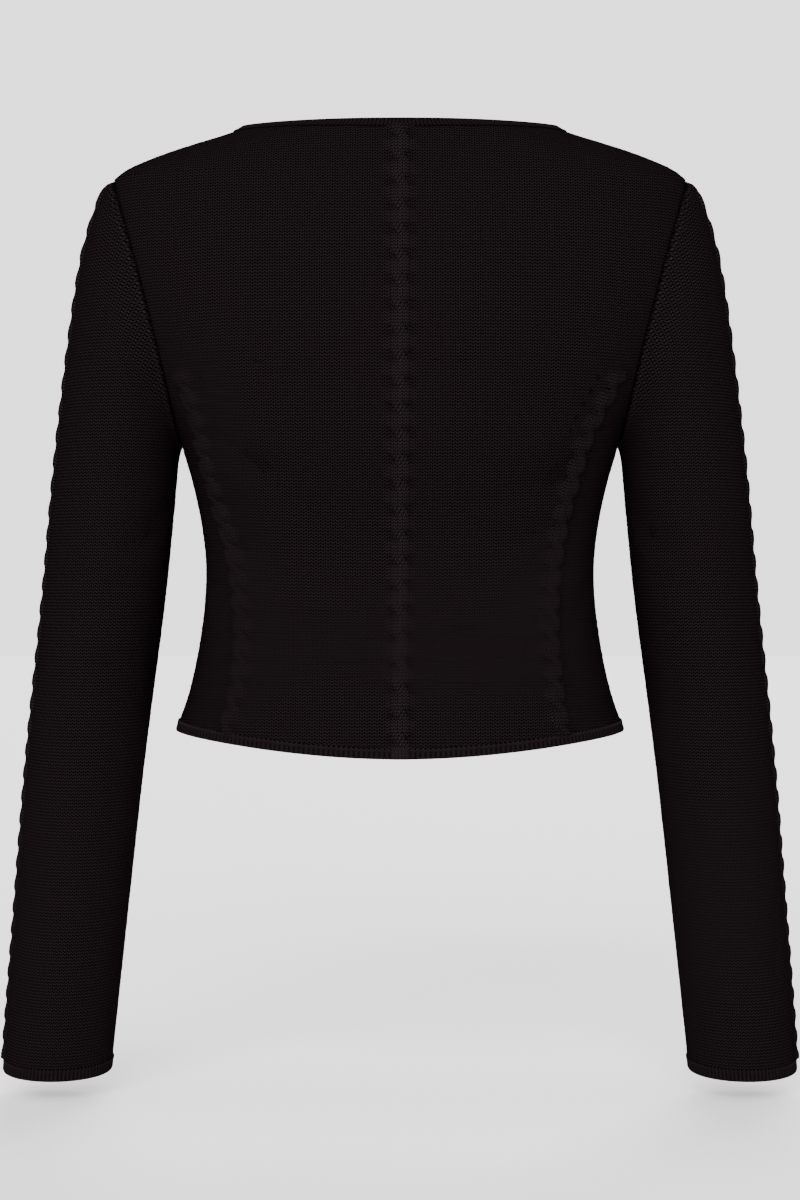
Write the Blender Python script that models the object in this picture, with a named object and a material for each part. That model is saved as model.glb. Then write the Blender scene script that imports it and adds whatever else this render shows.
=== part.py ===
"""A cropped cable-knit cardigan, filled out as if worn.

Metres, +Z up. The front faces -Y and the wearer's left is +X. The origin lies midway
between the two points where the shoulder seams meet the neck band's top edge.

Every piece that is cut and linked on is one closed solid: an outer skin that carries the
cables and ribs, a plain inner skin one wall below it, and the seam faces between them.
"""

import bisect
import functools
import math

import bmesh
import bpy
from mathutils import Vector
from mathutils.geometry import delaunay_2d_cdt

# ---------------------------------------------------------------- driving dimensions

WALL = 0.0020            # thickness of the knit
SEAM_GAP = 0.0003        # between pieces that are linked together
FLAT_TOLERANCE = 1e-7    # points closer than this in a flat layout are one point

BACK, FRONT = 1, -1      # sign of Y on each half of the body

# Body sections, up to where the armhole starts and above it, on the worn form.
TORSO_COLUMNS = ("height", "half_width", "back_depth", "front_depth", "squareness")
TORSO = (
    (-0.4120, 0.1497, 0.1068, 0.1090, 2.30),
    (-0.4020, 0.1484, 0.1052, 0.1084, 2.30),
    (-0.3780, 0.1405, 0.0990, 0.1060, 2.32),
    (-0.3510, 0.1345, 0.0880, 0.1030, 2.35),
    (-0.3240, 0.1306, 0.0770, 0.1005, 2.40),
    (-0.3030, 0.1293, 0.0715, 0.1005, 2.40),
    (-0.2840, 0.1300, 0.0710, 0.1040, 2.40),
    (-0.2600, 0.1335, 0.0760, 0.1120, 2.40),
    (-0.2370, 0.1388, 0.0830, 0.1200, 2.40),
    (-0.2140, 0.1453, 0.0890, 0.1240, 2.40),
    (-0.1700, 0.1530, 0.0945, 0.1200, 2.40),
    (-0.1260, 0.1650, 0.0955, 0.1100, 2.40),
    (-0.0840, 0.1766, 0.0900, 0.0985, 2.36),
    (-0.0500, 0.1860, 0.0800, 0.0850, 2.30),
    (-0.0240, 0.1900, 0.0690, 0.0700, 2.25),
    (-0.0100, 0.1900, 0.0615, 0.0600, 2.20),
    (0.0000, 0.1900, 0.0560, 0.0530, 2.15),
)

# The shoulder seam, seen from the front or back.
SHOULDER_COLUMNS = ("height", "half_width")
SHOULDER = (
    (-0.0380, 0.1905),
    (-0.0320, 0.1826),
    (-0.0267, 0.1710),
    (-0.0213, 0.1568),
    (-0.0160, 0.1408),
    (-0.0107, 0.1230),
    (-0.0053, 0.1082),
    (0.0000, 0.1020),
)

# The armhole is a tall oval that leans outwards at the shoulder tip.
ARMHOLE_X = 0.1679       # its middle, from the centre plane
ARMHOLE_Z = -0.1260
ARMHOLE_LEAN = 0.0226    # shoulder tip outwards of the middle, underarm inwards of it
ARMHOLE_RISE = 0.0880    # half its height
ARMHOLE_DEPTH = 0.0520   # half its width from front to back
ARMHOLE_SCOOP = {BACK: 0.0035, FRONT: 0.0090}
SCOOP_FADE = 0.0500      # height over which the scoop dies out down the sleeve cap
SEAM_EASE_ANGLE = 0.30   # near its two ends the seam face turns to lie on the side seam
SHOULDER_TIP_Z = ARMHOLE_Z + ARMHOLE_RISE
UNDERARM_Z = ARMHOLE_Z - ARMHOLE_RISE

# Sleeve: its outermost and innermost lines, and how it lies from front to back.
SLEEVE_OUTER_COLUMNS = ("height", "reach")
SLEEVE_OUTER = (
    (-0.0380, 0.1905),
    (-0.0415, 0.1950),
    (-0.0480, 0.1984),
    (-0.0640, 0.2044),
    (-0.0910, 0.2115),
    (-0.1440, 0.2195),
    (-0.2240, 0.2287),
    (-0.3170, 0.2370),
    (-0.4240, 0.2483),
    (-0.5220, 0.2567),
    (-0.6330, 0.2662),
)
SLEEVE_INNER_COLUMNS = ("height", "reach")
SLEEVE_INNER = (
    (-0.2140, 0.1453),
    (-0.2240, 0.1473),
    (-0.2510, 0.1497),
    (-0.3170, 0.1563),
    (-0.4240, 0.1703),
    (-0.5180, 0.1811),
    (-0.6330, 0.1940),
)
SLEEVE_FORM_COLUMNS = ("height", "half_depth", "forward", "tilt")
SLEEVE_FORM = (
    (-0.0380, 0.0520, 0.0000, 0.000),
    (-0.0900, 0.0530, 0.0000, 0.000),
    (-0.1600, 0.0520, 0.0000, 0.000),
    (-0.2400, 0.0490, -0.0010, 0.000),
    (-0.3400, 0.0450, -0.0010, 0.010),
    (-0.4400, 0.0415, 0.0030, 0.045),
    (-0.5400, 0.0385, 0.0080, 0.070),
    (-0.6330, 0.0365, 0.0140, 0.090),
)
CAP_END_Z = -0.2240      # below this a sleeve section is level
CAP_INNER_DROP = 0.0100  # the fan of cap sections closes up to this at the underarm

# Bands.
HEM_SIDE_Z = -0.4030
HEM_BACK_DROP = 0.0145   # the back hangs lower in the middle
HEM_FRONT_DROP = 0.0020
HEM_HEIGHT = 0.0060
HEM_RIBS = 252
CUFF_END_Z = -0.6315
CUFF_HEIGHT = 0.0074
CUFF_RIBS = 86
NECK_HEIGHT = 0.0062
NECK_RIBS = 256
NECK_BACK_DROP = 0.0050  # depth of the back neckline at the band's top edge
NECK_BACK_POWER = 6      # how late that line rises to the neck points
NECK_DROP_TOP = 0.0880   # depth of the front neckline there
NECK_DROP_SEAM = 0.0935
NECK_SQUARENESS = 2.05
NECK_CLEARANCE = 0.0060  # between the neckline and a front's nearest inner points
PANEL_EDGE = 1.0 + SEAM_GAP / NECK_HEIGHT
FRONT_NECK_POINTS = 13
NECK_STEP = 0.0110
ARMHOLE_POINTS = 13
RIB_RISE = 0.00045       # how far a rib's crest and its valley leave the plain wall
COARSE_EVERY = 4         # a band's plain inside has a column for so many of its outside
NECK_COARSE_EVERY = 2    # closer on the neck band, which bends sharply at the neck points

# Front closing.
BAND_HALF_WIDTH = 0.0090
LAP_DEPTH = WALL + SEAM_GAP
LAP_RAMP = 0.0150
FRONT_BAND_STEP = 0.0175
BUTTON_COUNT = 7
BUTTON_RADIUS = 0.0057
BUTTON_THICKNESS = 0.0026
BUTTON_SIDES = 12
BUTTON_END_MARGIN = 0.0120
BUTTON_PROFILE = (       # share of the radius, share of the thickness
    (0.00, 0.00),
    (1.00, 0.00),
    (1.00, 0.72),
    (0.82, 1.00),
    (0.64, 0.70),
    (0.00, 0.70),
)

# Rope cables.
CABLE_HALF_WIDTH = 0.0062
CABLE_RISE = 0.0021
CABLE_GROOVE = 0.30      # height left in the groove at a crossing, as a share
CABLE_BULGE_POWER = 0.55
CABLE_SLANT = 0.62       # a crossing climbs by this share of its way across
CABLE_ACROSS = (-1.0, -0.55, 0.0, 0.55, 1.0)
CABLE_PHASES = (0.0, 0.30, 0.66)
CABLE_FADE = 0.0060      # length over which a cable sinks in at an armhole
CENTRE_PITCH = 0.0162
CENTRE_CROSSINGS = 26
PRINCESS_PITCH = 0.0146
PRINCESS_CROSSINGS = 18
SLEEVE_PITCH_TOP, SLEEVE_PITCH_END = 0.0180, 0.0138
SLEEVE_CABLE_START = 0.0040   # from the shoulder tip down to the first crossing
HEM_CABLE_RISE = 0.0017       # the centre cable where it runs on over the hem band
HEM_CABLE_SPREAD = 1.15

# The princess line, as the middle of its cable, seen from the back.
PRINCESS_COLUMNS = ("height", "offset")
PRINCESS = (
    (-0.4120, 0.1200),
    (-0.4010, 0.1140),
    (-0.3820, 0.1080),
    (-0.3440, 0.1050),
    (-0.3170, 0.1050),
    (-0.2970, 0.1070),
    (-0.2730, 0.1130),
    (-0.2510, 0.1170),
    (-0.2270, 0.1240),
    (-0.2090, 0.1290),
    (-0.1870, 0.1380),
    (-0.1650, 0.1480),
)

# Mesh layout.
ROW_STEP = 0.0240        # plain jersey, down the body
COLUMN_STEP = 0.0200     # plain jersey, round the body
INNER_ROW_STEP = 0.0320
INNER_COLUMN_STEP = 0.0300
SHOULDER_STEP = 0.0085   # down the shoulder seam
SHOULDER_ROWS = (-0.0330, -0.0270, -0.0210, -0.0140)
FRONT_ROWS_TOP = -0.0060
FOOT_STEP = 0.0150       # along a panel's lower edge
FRONT_FOOT_START = 0.0120
PRINCESS_FOOT_SHARE = 0.80
SLEEVE_FACETS = 16
SLEEVE_INNER_FACETS = 12
SLEEVE_RADIUS = 0.0435   # in the flat pattern of a sleeve
BORDER_CLEARANCE = 0.0016
STRIP_CLEARANCE = 0.0050
CABLE_CLEARANCE = 0.0030
STRIP_CLEAR_ANGLE = 0.10
NECK_CLEAR_SHARE = 0.02
PRINCESS_CLEAR_TOP = 0.0040
SECTION_STEPS = 48
HEM_SAMPLES = 80         # of the form along one quarter of the hem

COLOURS = {
    "knit_black": ((0.012, 0.011, 0.012), 0.82),
    "button_black": ((0.014, 0.013, 0.014), 0.38),
}


# ---------------------------------------------------------------- reading the tables

def reader(names, rows):
    """A function that reads a named column of a table at any key, on a smooth curve."""
    keys = [row[0] for row in rows]
    if keys[0] > keys[-1]:
        rows = rows[::-1]
        keys = keys[::-1]

    def slope(index, column):
        low = max(index - 1, 0)
        high = min(index + 1, len(rows) - 1)
        return (rows[high][column] - rows[low][column]) / (keys[high] - keys[low])

    def read(name, key):
        column = names.index(name)
        key = min(max(key, keys[0]), keys[-1])
        i = min(max(bisect.bisect_right(keys, key) - 1, 0), len(keys) - 2)
        span = keys[i + 1] - keys[i]
        t = (key - keys[i]) / span
        start, end = rows[i][column], rows[i + 1][column]
        start_pull = slope(i, column) * span
        end_pull = slope(i + 1, column) * span
        return (start * (2 * t**3 - 3 * t**2 + 1) + start_pull * (t**3 - 2 * t**2 + t)
                + end * (3 * t**2 - 2 * t**3) + end_pull * (t**3 - t**2))

    return read


torso = reader(TORSO_COLUMNS, TORSO)
shoulder = reader(SHOULDER_COLUMNS, SHOULDER)
sleeve_outer = reader(SLEEVE_OUTER_COLUMNS, SLEEVE_OUTER)
sleeve_inner = reader(SLEEVE_INNER_COLUMNS, SLEEVE_INNER)
sleeve_form = reader(SLEEVE_FORM_COLUMNS, SLEEVE_FORM)
princess = reader(PRINCESS_COLUMNS, PRINCESS)


def smooth(t):
    """An eased step from 0 to 1."""
    t = min(max(t, 0.0), 1.0)
    return t * t * (3.0 - 2.0 * t)


def spread(start, end, step):
    """Evenly spaced values from start to end, about one step apart, both ends included."""
    count = max(1, round(abs(end - start) / step))
    return [start + (end - start) * i / count for i in range(count + 1)]


# ---------------------------------------------------------------- the body's form

def armhole_point(face, angle):
    """A point of the armhole on the wearer's left; angle 0 is the shoulder tip."""
    x = ARMHOLE_X + ARMHOLE_LEAN * math.cos(angle) - ARMHOLE_SCOOP[face] * math.sin(angle) ** 2
    y = face * ARMHOLE_DEPTH * math.sin(angle)
    return Vector((x, y, ARMHOLE_Z + ARMHOLE_RISE * math.cos(angle)))


def armhole_inward(face, angle):
    """Unit direction across the armhole's edge towards its middle, in the seam's surface."""
    turn = 0.01
    along = armhole_point(face, angle + turn) - armhole_point(face, angle - turn)
    lean = Vector((ARMHOLE_LEAN, 0.0, ARMHOLE_RISE)).normalized()
    seam_axis = Vector((lean.z, 0.0, -lean.x))
    inward = along.cross(seam_axis)
    middle = Vector((ARMHOLE_X, 0.0, ARMHOLE_Z))
    if inward.dot(middle - armhole_point(face, angle)) < 0.0:
        inward.negate()
    return inward.normalized()


def armhole_axis():
    """Unit direction through the armhole, from the body into the sleeve on the left."""
    return Vector((ARMHOLE_RISE, 0.0, -ARMHOLE_LEAN)).normalized()


def armhole_angles():
    """Where one half of an armhole has its points, from the shoulder tip to the underarm."""
    return spread(0.0, math.pi, math.pi / ARMHOLE_POINTS)


@functools.lru_cache(maxsize=None)
def section(face, z):
    """One level section of half the body: its oval, and the length along it at each step."""
    depth = torso("back_depth" if face == BACK else "front_depth", z)
    power = torso("squareness", z)
    if z >= SHOULDER_TIP_Z:
        end_x, end_y = shoulder("half_width", z), 0.0
    elif z <= UNDERARM_Z:
        end_x, end_y = torso("half_width", z), 0.0
    else:
        end = armhole_point(face, math.acos((z - ARMHOLE_Z) / ARMHOLE_RISE))
        end_x, end_y = end.x, abs(end.y)
    reach = (1.0 - (end_y / depth) ** power) ** (1.0 / power)
    half_width = end_x / reach
    last_angle = math.asin(min(1.0, reach ** (power / 2.0)))
    xs, lengths = [], []
    previous = None
    for i in range(SECTION_STEPS + 1):
        angle = last_angle * i / SECTION_STEPS
        spot = (half_width * math.sin(angle) ** (2.0 / power),
                depth * max(math.cos(angle), 0.0) ** (2.0 / power))
        if previous:
            lengths.append(lengths[-1] + math.dist(previous, spot))
        else:
            lengths.append(0.0)
        xs.append(spot[0])
        previous = spot
    return depth, power, half_width, last_angle, lengths, xs


def section_length(face, z):
    """Length of half a section, from the centre plane to its side."""
    return section(face, z)[4][-1]


def share_at(face, x, z):
    """Where a distance x from the centre plane lies along a section, from 0 to 1."""
    lengths, xs = section(face, z)[4:]
    x = min(abs(x), xs[-1])
    i = min(max(bisect.bisect_right(xs, x) - 1, 0), SECTION_STEPS - 1)
    t = (x - xs[i]) / (xs[i + 1] - xs[i])
    return (lengths[i] + t * (lengths[i + 1] - lengths[i])) / lengths[-1]


def body_point(face, share, z):
    """A point of the body's form; a negative share is on the wearer's right."""
    depth, power, half_width, last_angle, lengths, _ = section(face, z)
    wanted = min(abs(share), 1.0) * lengths[-1]
    i = min(max(bisect.bisect_right(lengths, wanted) - 1, 0), SECTION_STEPS - 1)
    t = (wanted - lengths[i]) / (lengths[i + 1] - lengths[i])
    angle = last_angle * (i + t) / SECTION_STEPS
    x = half_width * math.sin(angle) ** (2.0 / power)
    y = depth * max(math.cos(angle), 0.0) ** (2.0 / power)
    return Vector((math.copysign(x, share), face * y, z))


def body_normal(face, share, z):
    """The direction out of the body's form."""
    nudge = 0.004
    lift = 0.0008
    below = 0.05
    side = math.copysign(1.0, share)
    near = max(abs(share) - nudge, 0.0)
    far = min(abs(share) + nudge, 1.0)
    across = body_point(face, side * far, z) - body_point(face, side * near, z)
    up = body_point(face, share, min(z + lift, 0.0)) - body_point(face, share, z - lift)
    normal = across.cross(up).normalized()
    centre = Vector((0.0, 0.0, z - below))
    if normal.dot(body_point(face, share, z) - centre) < 0.0:
        normal.negate()
    return normal


def lap(x):
    """How far the wearer's left front lies below the form, to go under the right one."""
    return LAP_DEPTH * (1.0 - smooth((x - BAND_HALF_WIDTH) / LAP_RAMP)) if x > 0.0 else 0.0


def body_skin(face, share, z, rise=0.0):
    """An outer and an inner point of the knit; rise lifts the outer one alone."""
    spot = body_point(face, share, z)
    normal = body_normal(face, share, z)
    if face == FRONT:
        spot = spot - normal * lap(spot.x)
    return spot + normal * rise, spot - normal * WALL


# ---------------------------------------------------------------- cables

def cable_rise(across, phase):
    """Height of a rope cable: across runs from -1 to 1, phase counts its crossings."""
    if abs(across) >= 1.0:
        return 0.0
    bulge = abs(math.sin(math.pi * phase)) ** CABLE_BULGE_POWER
    return CABLE_RISE * math.sqrt(1.0 - across * across) * (
        CABLE_GROOVE + (1.0 - CABLE_GROOVE) * bulge)


def cable_grid(crossings, place):
    """Rows of flat points along a cable, slanted with its crossings, and the lines that
    join them. place(across, turn) gives a flat point and the phase there, or None."""
    spots, lines, last_row = [], [], None
    for crossing in range(crossings):
        for part in CABLE_PHASES:
            row = []
            for across in CABLE_ACROSS:
                spot = place(across, crossing + part)
                row.append(None if spot is None else len(spots))
                if spot is not None:
                    spots.append((spot, cable_rise(across, part)))
            lines += [pair for pair in zip(row, row[1:]) if None not in pair]
            if last_row:
                lines += [pair for pair in zip(last_row, row) if None not in pair]
            last_row = row
    return spots, lines


# ---------------------------------------------------------------- making solids

def triangles_inside(outline, inside, lines):
    """Triangles over a flat outline and the flat points inside it."""
    count = len(outline)
    edges = [(i, (i + 1) % count) for i in range(count)]
    edges += [(a + count, b + count) for a, b in lines]
    flat = [Vector(spot) for spot in outline + inside]
    result = delaunay_2d_cdt(flat, edges, [], 1, FLAT_TOLERANCE)
    names = result[3]
    if any(len(ids) != 1 for ids in names):
        raise ValueError("flat points meet, or lines cross")
    return [tuple(names[corner][0] for corner in face) for face in result[2]]


def material(name):
    """The finish of one material slot."""
    made = bpy.data.materials.get(name)
    if made is None:
        colour, roughness = COLOURS[name]
        made = bpy.data.materials.new(name)
        made.use_nodes = True
        shader = made.node_tree.nodes["Principled BSDF"]
        shader.inputs["Base Color"].default_value = (*colour, 1.0)
        shader.inputs["Roughness"].default_value = roughness
        shader.inputs["Metallic"].default_value = 0.0
    return made


def add_object(name, points, faces, slot="knit_black"):
    """A closed object from points and faces, its faces pointing out."""
    mesh = bpy.data.meshes.new(name)
    mesh.from_pydata([tuple(point) for point in points], [], faces)
    work = bmesh.new()
    work.from_mesh(mesh)
    bmesh.ops.remove_doubles(work, verts=work.verts, dist=1e-6)
    bmesh.ops.triangulate(work, faces=work.faces)
    bmesh.ops.recalc_face_normals(work, faces=work.faces)
    if work.calc_volume(signed=True) < 0.0:
        bmesh.ops.reverse_faces(work, faces=work.faces)
    work.to_mesh(mesh)
    work.free()
    mesh.shade_smooth()
    mesh.set_sharp_from_angle(angle=math.radians(50.0))
    mesh.materials.append(material(slot))
    made = bpy.data.objects.new(name, mesh)
    bpy.context.collection.objects.link(made)
    return made


def add_wall(name, outline, outer, outer_lines, inner):
    """A knit panel. outline holds (flat point, outer point, inner point, open edge after
    it); outer and inner hold (flat point, point) inside it, for each skin."""
    flat_outline = [corner[0] for corner in outline]
    count = len(outline)
    points = [corner[1] for corner in outline] + [spot[1] for spot in outer]
    faces = triangles_inside(flat_outline, [spot[0] for spot in outer], outer_lines)
    base = len(points)
    points += [corner[2] for corner in outline] + [spot[1] for spot in inner]
    for face in triangles_inside(flat_outline, [spot[0] for spot in inner], []):
        faces.append(tuple(base + corner for corner in reversed(face)))
    for i, corner in enumerate(outline):
        if corner[3]:
            after = (i + 1) % count
            faces.append((after, i, base + i, base + after))
    return add_object(name, points, faces)


def add_band(name, stations, every=COARSE_EVERY, closed=False):
    """A narrow ribbed band. Each station holds its outer lower and upper points and its
    inner lower and upper points; the inside has only every few of them."""
    last = len(stations) if closed else len(stations) - 1
    coarse = list(range(0, last, every))
    if not closed:
        coarse.append(last)
    points, outer_low, outer_high = [], [], []
    for station in stations:
        outer_low.append(len(points))
        outer_high.append(len(points) + 1)
        points += station[:2]
    inner_low, inner_high = {}, {}
    for i in coarse:
        inner_low[i] = len(points)
        inner_high[i] = len(points) + 1
        points += stations[i][2:]
    faces = []
    size = len(stations)
    for i in range(last):
        after = (i + 1) % size
        faces.append((outer_low[i], outer_low[after], outer_high[after], outer_high[i]))
    spans = list(zip(coarse, coarse[1:] + ([last] if closed else [])))
    for start, end in spans:
        stop = end % size
        faces.append((inner_low[start], inner_high[start], inner_high[stop], inner_low[stop]))
        middle = (start + end) // 2
        for outer_row, inner_row in ((outer_low, inner_low), (outer_high, inner_high)):
            for i in range(start, end):
                hub = inner_row[start] if i < middle else inner_row[stop]
                faces.append((outer_row[i], outer_row[(i + 1) % size], hub))
            faces.append((outer_row[middle], inner_row[start], inner_row[stop]))
    if not closed:
        for i in (0, last):
            faces.append((outer_low[i], outer_high[i], inner_high[i], inner_low[i]))
    return add_object(name, points, faces)


# ---------------------------------------------------------------- back and fronts

def hem_z(face, share):
    """Height of the hem's lower edge."""
    drop = HEM_BACK_DROP if face == BACK else HEM_FRONT_DROP
    return HEM_SIDE_Z - drop * math.cos(0.5 * math.pi * share) ** 2


def panel_foot_z(face, share):
    """Height of a panel's lower edge, linked to the hem band."""
    return hem_z(face, share) + HEM_HEIGHT + SEAM_GAP


def surface_step(face, share, z, distance):
    """The height reached by going down the form for a distance from z."""
    probe = 0.0010
    pace = (body_point(face, share, z - probe) - body_point(face, share, z)).length
    return z - distance * probe / pace


def back_neck_z(share, distance):
    """Height of a line that runs below the back neck's top edge at a distance."""
    top = -NECK_BACK_DROP * (1.0 - abs(share) ** NECK_BACK_POWER)
    return surface_step(BACK, share, top, distance)


@functools.lru_cache(maxsize=None)
def neck_point_drop():
    """How far the neck band's seam lies below its top edge at the neck point."""
    return -back_neck_z(1.0, NECK_HEIGHT)


def front_neck_spot(part, edge):
    """Share and height of the front neckline; part runs from 0 at the shoulder to 1 at the
    front band, edge from 0 at the neck band's top to 1 at its seam."""
    drop = NECK_DROP_TOP + (NECK_DROP_SEAM - NECK_DROP_TOP) * edge
    widest = shoulder("half_width", -neck_point_drop() * edge)
    closing = (BAND_HALF_WIDTH + SEAM_GAP) / widest
    turn = part * math.acos(closing ** (NECK_SQUARENESS / 2.0))
    x = widest * math.cos(turn) ** (2.0 / NECK_SQUARENESS)
    fall = -drop * math.sin(turn) ** (2.0 / NECK_SQUARENESS)
    z = fall - neck_point_drop() * edge * math.cos(turn) ** 2
    return share_at(FRONT, x, z), z


def front_neck_parts():
    """Where the front neckline has its points, from the shoulder to the front band."""
    return spread(0.0, 1.0, 1.0 / FRONT_NECK_POINTS)


def back_neck_shares():
    """Where one half of the back neck has its points, from the centre to the shoulder."""
    length = section_length(BACK, -NECK_HEIGHT)
    cable = [a * CABLE_HALF_WIDTH / length for a in CABLE_ACROSS if a >= 0.0]
    start = cable[-1] + NECK_CLEAR_SHARE
    plain = [a for a in spread(0.0, 1.0, NECK_STEP / length)[1:] if a > start]
    return cable + plain


def side_corner(face, share, z):
    """An outline point on a side or shoulder seam, just clear of the centre plane y = 0."""
    outer, inner = body_skin(face, share, z)
    outer.y = inner.y = face * 0.5 * SEAM_GAP
    return outer, inner


def armhole_corner(face, side, angle):
    """An outline point on an armhole, its seam face turned towards the armhole's middle."""
    outer = armhole_point(face, angle)
    outer.y += face * 0.5 * SEAM_GAP
    inner = outer + armhole_inward(face, angle) * WALL
    inner.y = face * max(face * inner.y, 0.5 * SEAM_GAP)
    from_end = min(angle, math.pi - angle)
    if from_end < SEAM_EASE_ANGLE:
        ease = from_end / SEAM_EASE_ANGLE
        inner.y = face * (0.5 * SEAM_GAP + (abs(inner.y) - 0.5 * SEAM_GAP) * smooth(ease))
    outer.x *= side
    inner.x *= side
    return outer, inner


def flat_spot(face, share, z):
    """The flat layout of a body panel: length round the section, and height."""
    return (share * section_length(face, z), z)


def side_outline(face, side):
    """Outline points of one side of a panel, from the hem's corner to the neck point."""
    corners = []
    foot = panel_foot_z(face, 1.0)
    for z in spread(foot, UNDERARM_Z, ROW_STEP)[:-1]:
        corners.append((flat_spot(face, side, z), *side_corner(face, side, z)))
    for angle in reversed(armhole_angles()):
        z = ARMHOLE_Z + ARMHOLE_RISE * math.cos(angle)
        corners.append((flat_spot(face, side, z), *armhole_corner(face, side, angle)))
    neck = back_neck_z(1.0, NECK_HEIGHT + SEAM_GAP)
    if face == FRONT:
        neck = front_neck_spot(0.0, PANEL_EDGE)[1]
    for z in spread(SHOULDER_TIP_Z, neck, SHOULDER_STEP)[1:]:
        corners.append((flat_spot(face, side, z), *side_corner(face, side, z)))
    return corners


def princess_spot(side, across, turn):
    """Flat point of a princess cable, or None where it would pass the panel's outline."""
    z = PRINCESS[-1][0] - turn * PRINCESS_PITCH + side * CABLE_SLANT * across * CABLE_HALF_WIDTH
    if z < panel_foot_z(BACK, PRINCESS_FOOT_SHARE) + BORDER_CLEARANCE:
        return None
    share = share_at(BACK, princess("offset", z), z)
    around = share * section_length(BACK, z) + across * CABLE_HALF_WIDTH
    if around > section_length(BACK, z) - BORDER_CLEARANCE:
        return None
    return (side * around, z)


def centre_spot(across, turn):
    """Flat point of the centre back cable, or None where it would pass the outline."""
    z = -turn * CENTRE_PITCH + CABLE_SLANT * across * CABLE_HALF_WIDTH
    low = panel_foot_z(BACK, 0.0) + BORDER_CLEARANCE
    high = back_neck_z(0.0, NECK_HEIGHT + SEAM_GAP) - BORDER_CLEARANCE
    return (across * CABLE_HALF_WIDTH, z) if low < z < high else None


def centre_rise(across, z):
    """Height of the centre back cable at any place."""
    phase = (CABLE_SLANT * across * CABLE_HALF_WIDTH - z) / CENTRE_PITCH
    return cable_rise(across, phase)


def princess_rise(side, across, z):
    """Height of a princess cable at any place."""
    start = PRINCESS[-1][0] + side * CABLE_SLANT * across * CABLE_HALF_WIDTH
    return cable_rise(across, (start - z) / PRINCESS_PITCH)


def back_row_points(z, step):
    """Lengths round the back at which a plain row has points, clear of the cables."""
    whole = section_length(BACK, z)
    cable = share_at(BACK, princess("offset", z), z) * whole
    half = CABLE_HALF_WIDTH + STRIP_CLEARANCE
    inner_end, outer_start = cable - half, cable + half
    spots = []
    if z > PRINCESS[-1][0] + PRINCESS_CLEAR_TOP:
        inner_end = whole - STRIP_CLEARANCE
        outer_start = whole
    spots += spread(half, inner_end, step)
    if whole - STRIP_CLEARANCE > outer_start:
        spots += spread(outer_start, whole - STRIP_CLEARANCE, step)
    return [side * spot for side in (-1, 1) for spot in spots]


def body_rows(face, step, top):
    """Heights of a panel's plain rows between its borders."""
    low = panel_foot_z(face, 0.0) + step / 2
    rows = spread(low, SHOULDER_TIP_Z, step) + list(SHOULDER_ROWS)
    return [z for z in rows if z < top - BORDER_CLEARANCE]


def build_back():
    """The back panel, with its three cables."""
    left = side_outline(BACK, 1)
    right = side_outline(BACK, -1)
    shares = back_neck_shares()[:-1]
    outline = [(*corner, True) for corner in left]
    for share in shares[::-1] + [-a for a in shares[1:]]:
        z = back_neck_z(abs(share), NECK_HEIGHT + SEAM_GAP)
        around = share * section_length(BACK, z)
        rise = centre_rise(around / CABLE_HALF_WIDTH, z)
        outer, inner = body_skin(BACK, share, z, rise)
        outline.append((flat_spot(BACK, share, z), outer, inner, True))
    outline += [(*corner, True) for corner in reversed(right)]

    foot = panel_foot_z(BACK, PRINCESS_FOOT_SHARE)
    whole = section_length(BACK, foot)
    cable = share_at(BACK, princess("offset", foot), foot) * whole
    strip = [cable + a * CABLE_HALF_WIDTH for a in CABLE_ACROSS]
    clear = CABLE_HALF_WIDTH + CABLE_CLEARANCE
    plain = [spot for spot in spread(0.0, whole, FOOT_STEP)[1:-1]
             if abs(spot - cable) > clear and spot > clear]
    centre = [a * CABLE_HALF_WIDTH for a in CABLE_ACROSS]
    feet = [-spot for spot in plain + strip] + centre + plain + strip
    for around in sorted(feet):
        share = around / whole
        z = panel_foot_z(BACK, share)
        rise = centre_rise(around / CABLE_HALF_WIDTH, z)
        side = math.copysign(1.0, around)
        rise += princess_rise(side, (abs(around) - cable) / CABLE_HALF_WIDTH, z)
        outer, inner = body_skin(BACK, share, z, rise)
        outline.append((flat_spot(BACK, share, z), outer, inner, True))

    grids = [cable_grid(CENTRE_CROSSINGS, centre_spot)]
    for side in (1, -1):
        grids.append(cable_grid(PRINCESS_CROSSINGS, functools.partial(princess_spot, side)))
    flats, rises, lines = [], [], []
    for spots, links in grids:
        base = len(flats)
        flats += [spot for spot, _ in spots]
        rises += [rise for _, rise in spots]
        lines += [(a + base, b + base) for a, b in links]
    for i, (around, z) in enumerate(flats):
        to_side = section_length(BACK, z) - abs(around)
        rises[i] *= smooth(to_side / CABLE_FADE)
    top = back_neck_z(0.0, NECK_HEIGHT + SEAM_GAP)
    for z in body_rows(BACK, ROW_STEP, top):
        for around in back_row_points(z, COLUMN_STEP):
            flats.append((around, z))
            rises.append(0.0)
    outer = []
    for (around, z), rise in zip(flats, rises):
        share = around / section_length(BACK, z)
        outer.append(((around, z), body_skin(BACK, share, z, rise)[0]))
    inner = []
    for z in body_rows(BACK, INNER_ROW_STEP, top):
        whole = section_length(BACK, z)
        reach = whole - STRIP_CLEARANCE
        columns = spread(-reach, reach, INNER_COLUMN_STEP)
        if z > SHOULDER_TIP_Z:
            columns = back_row_points(z, COLUMN_STEP)
        for around in columns:
            inner.append(((around, z), body_skin(BACK, around / whole, z)[1]))
    return add_wall("back", outline, outer, lines, inner)


def front_edge_share(z):
    """Share of a front section at the seam with its band."""
    return share_at(FRONT, BAND_HALF_WIDTH + SEAM_GAP, z)


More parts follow.
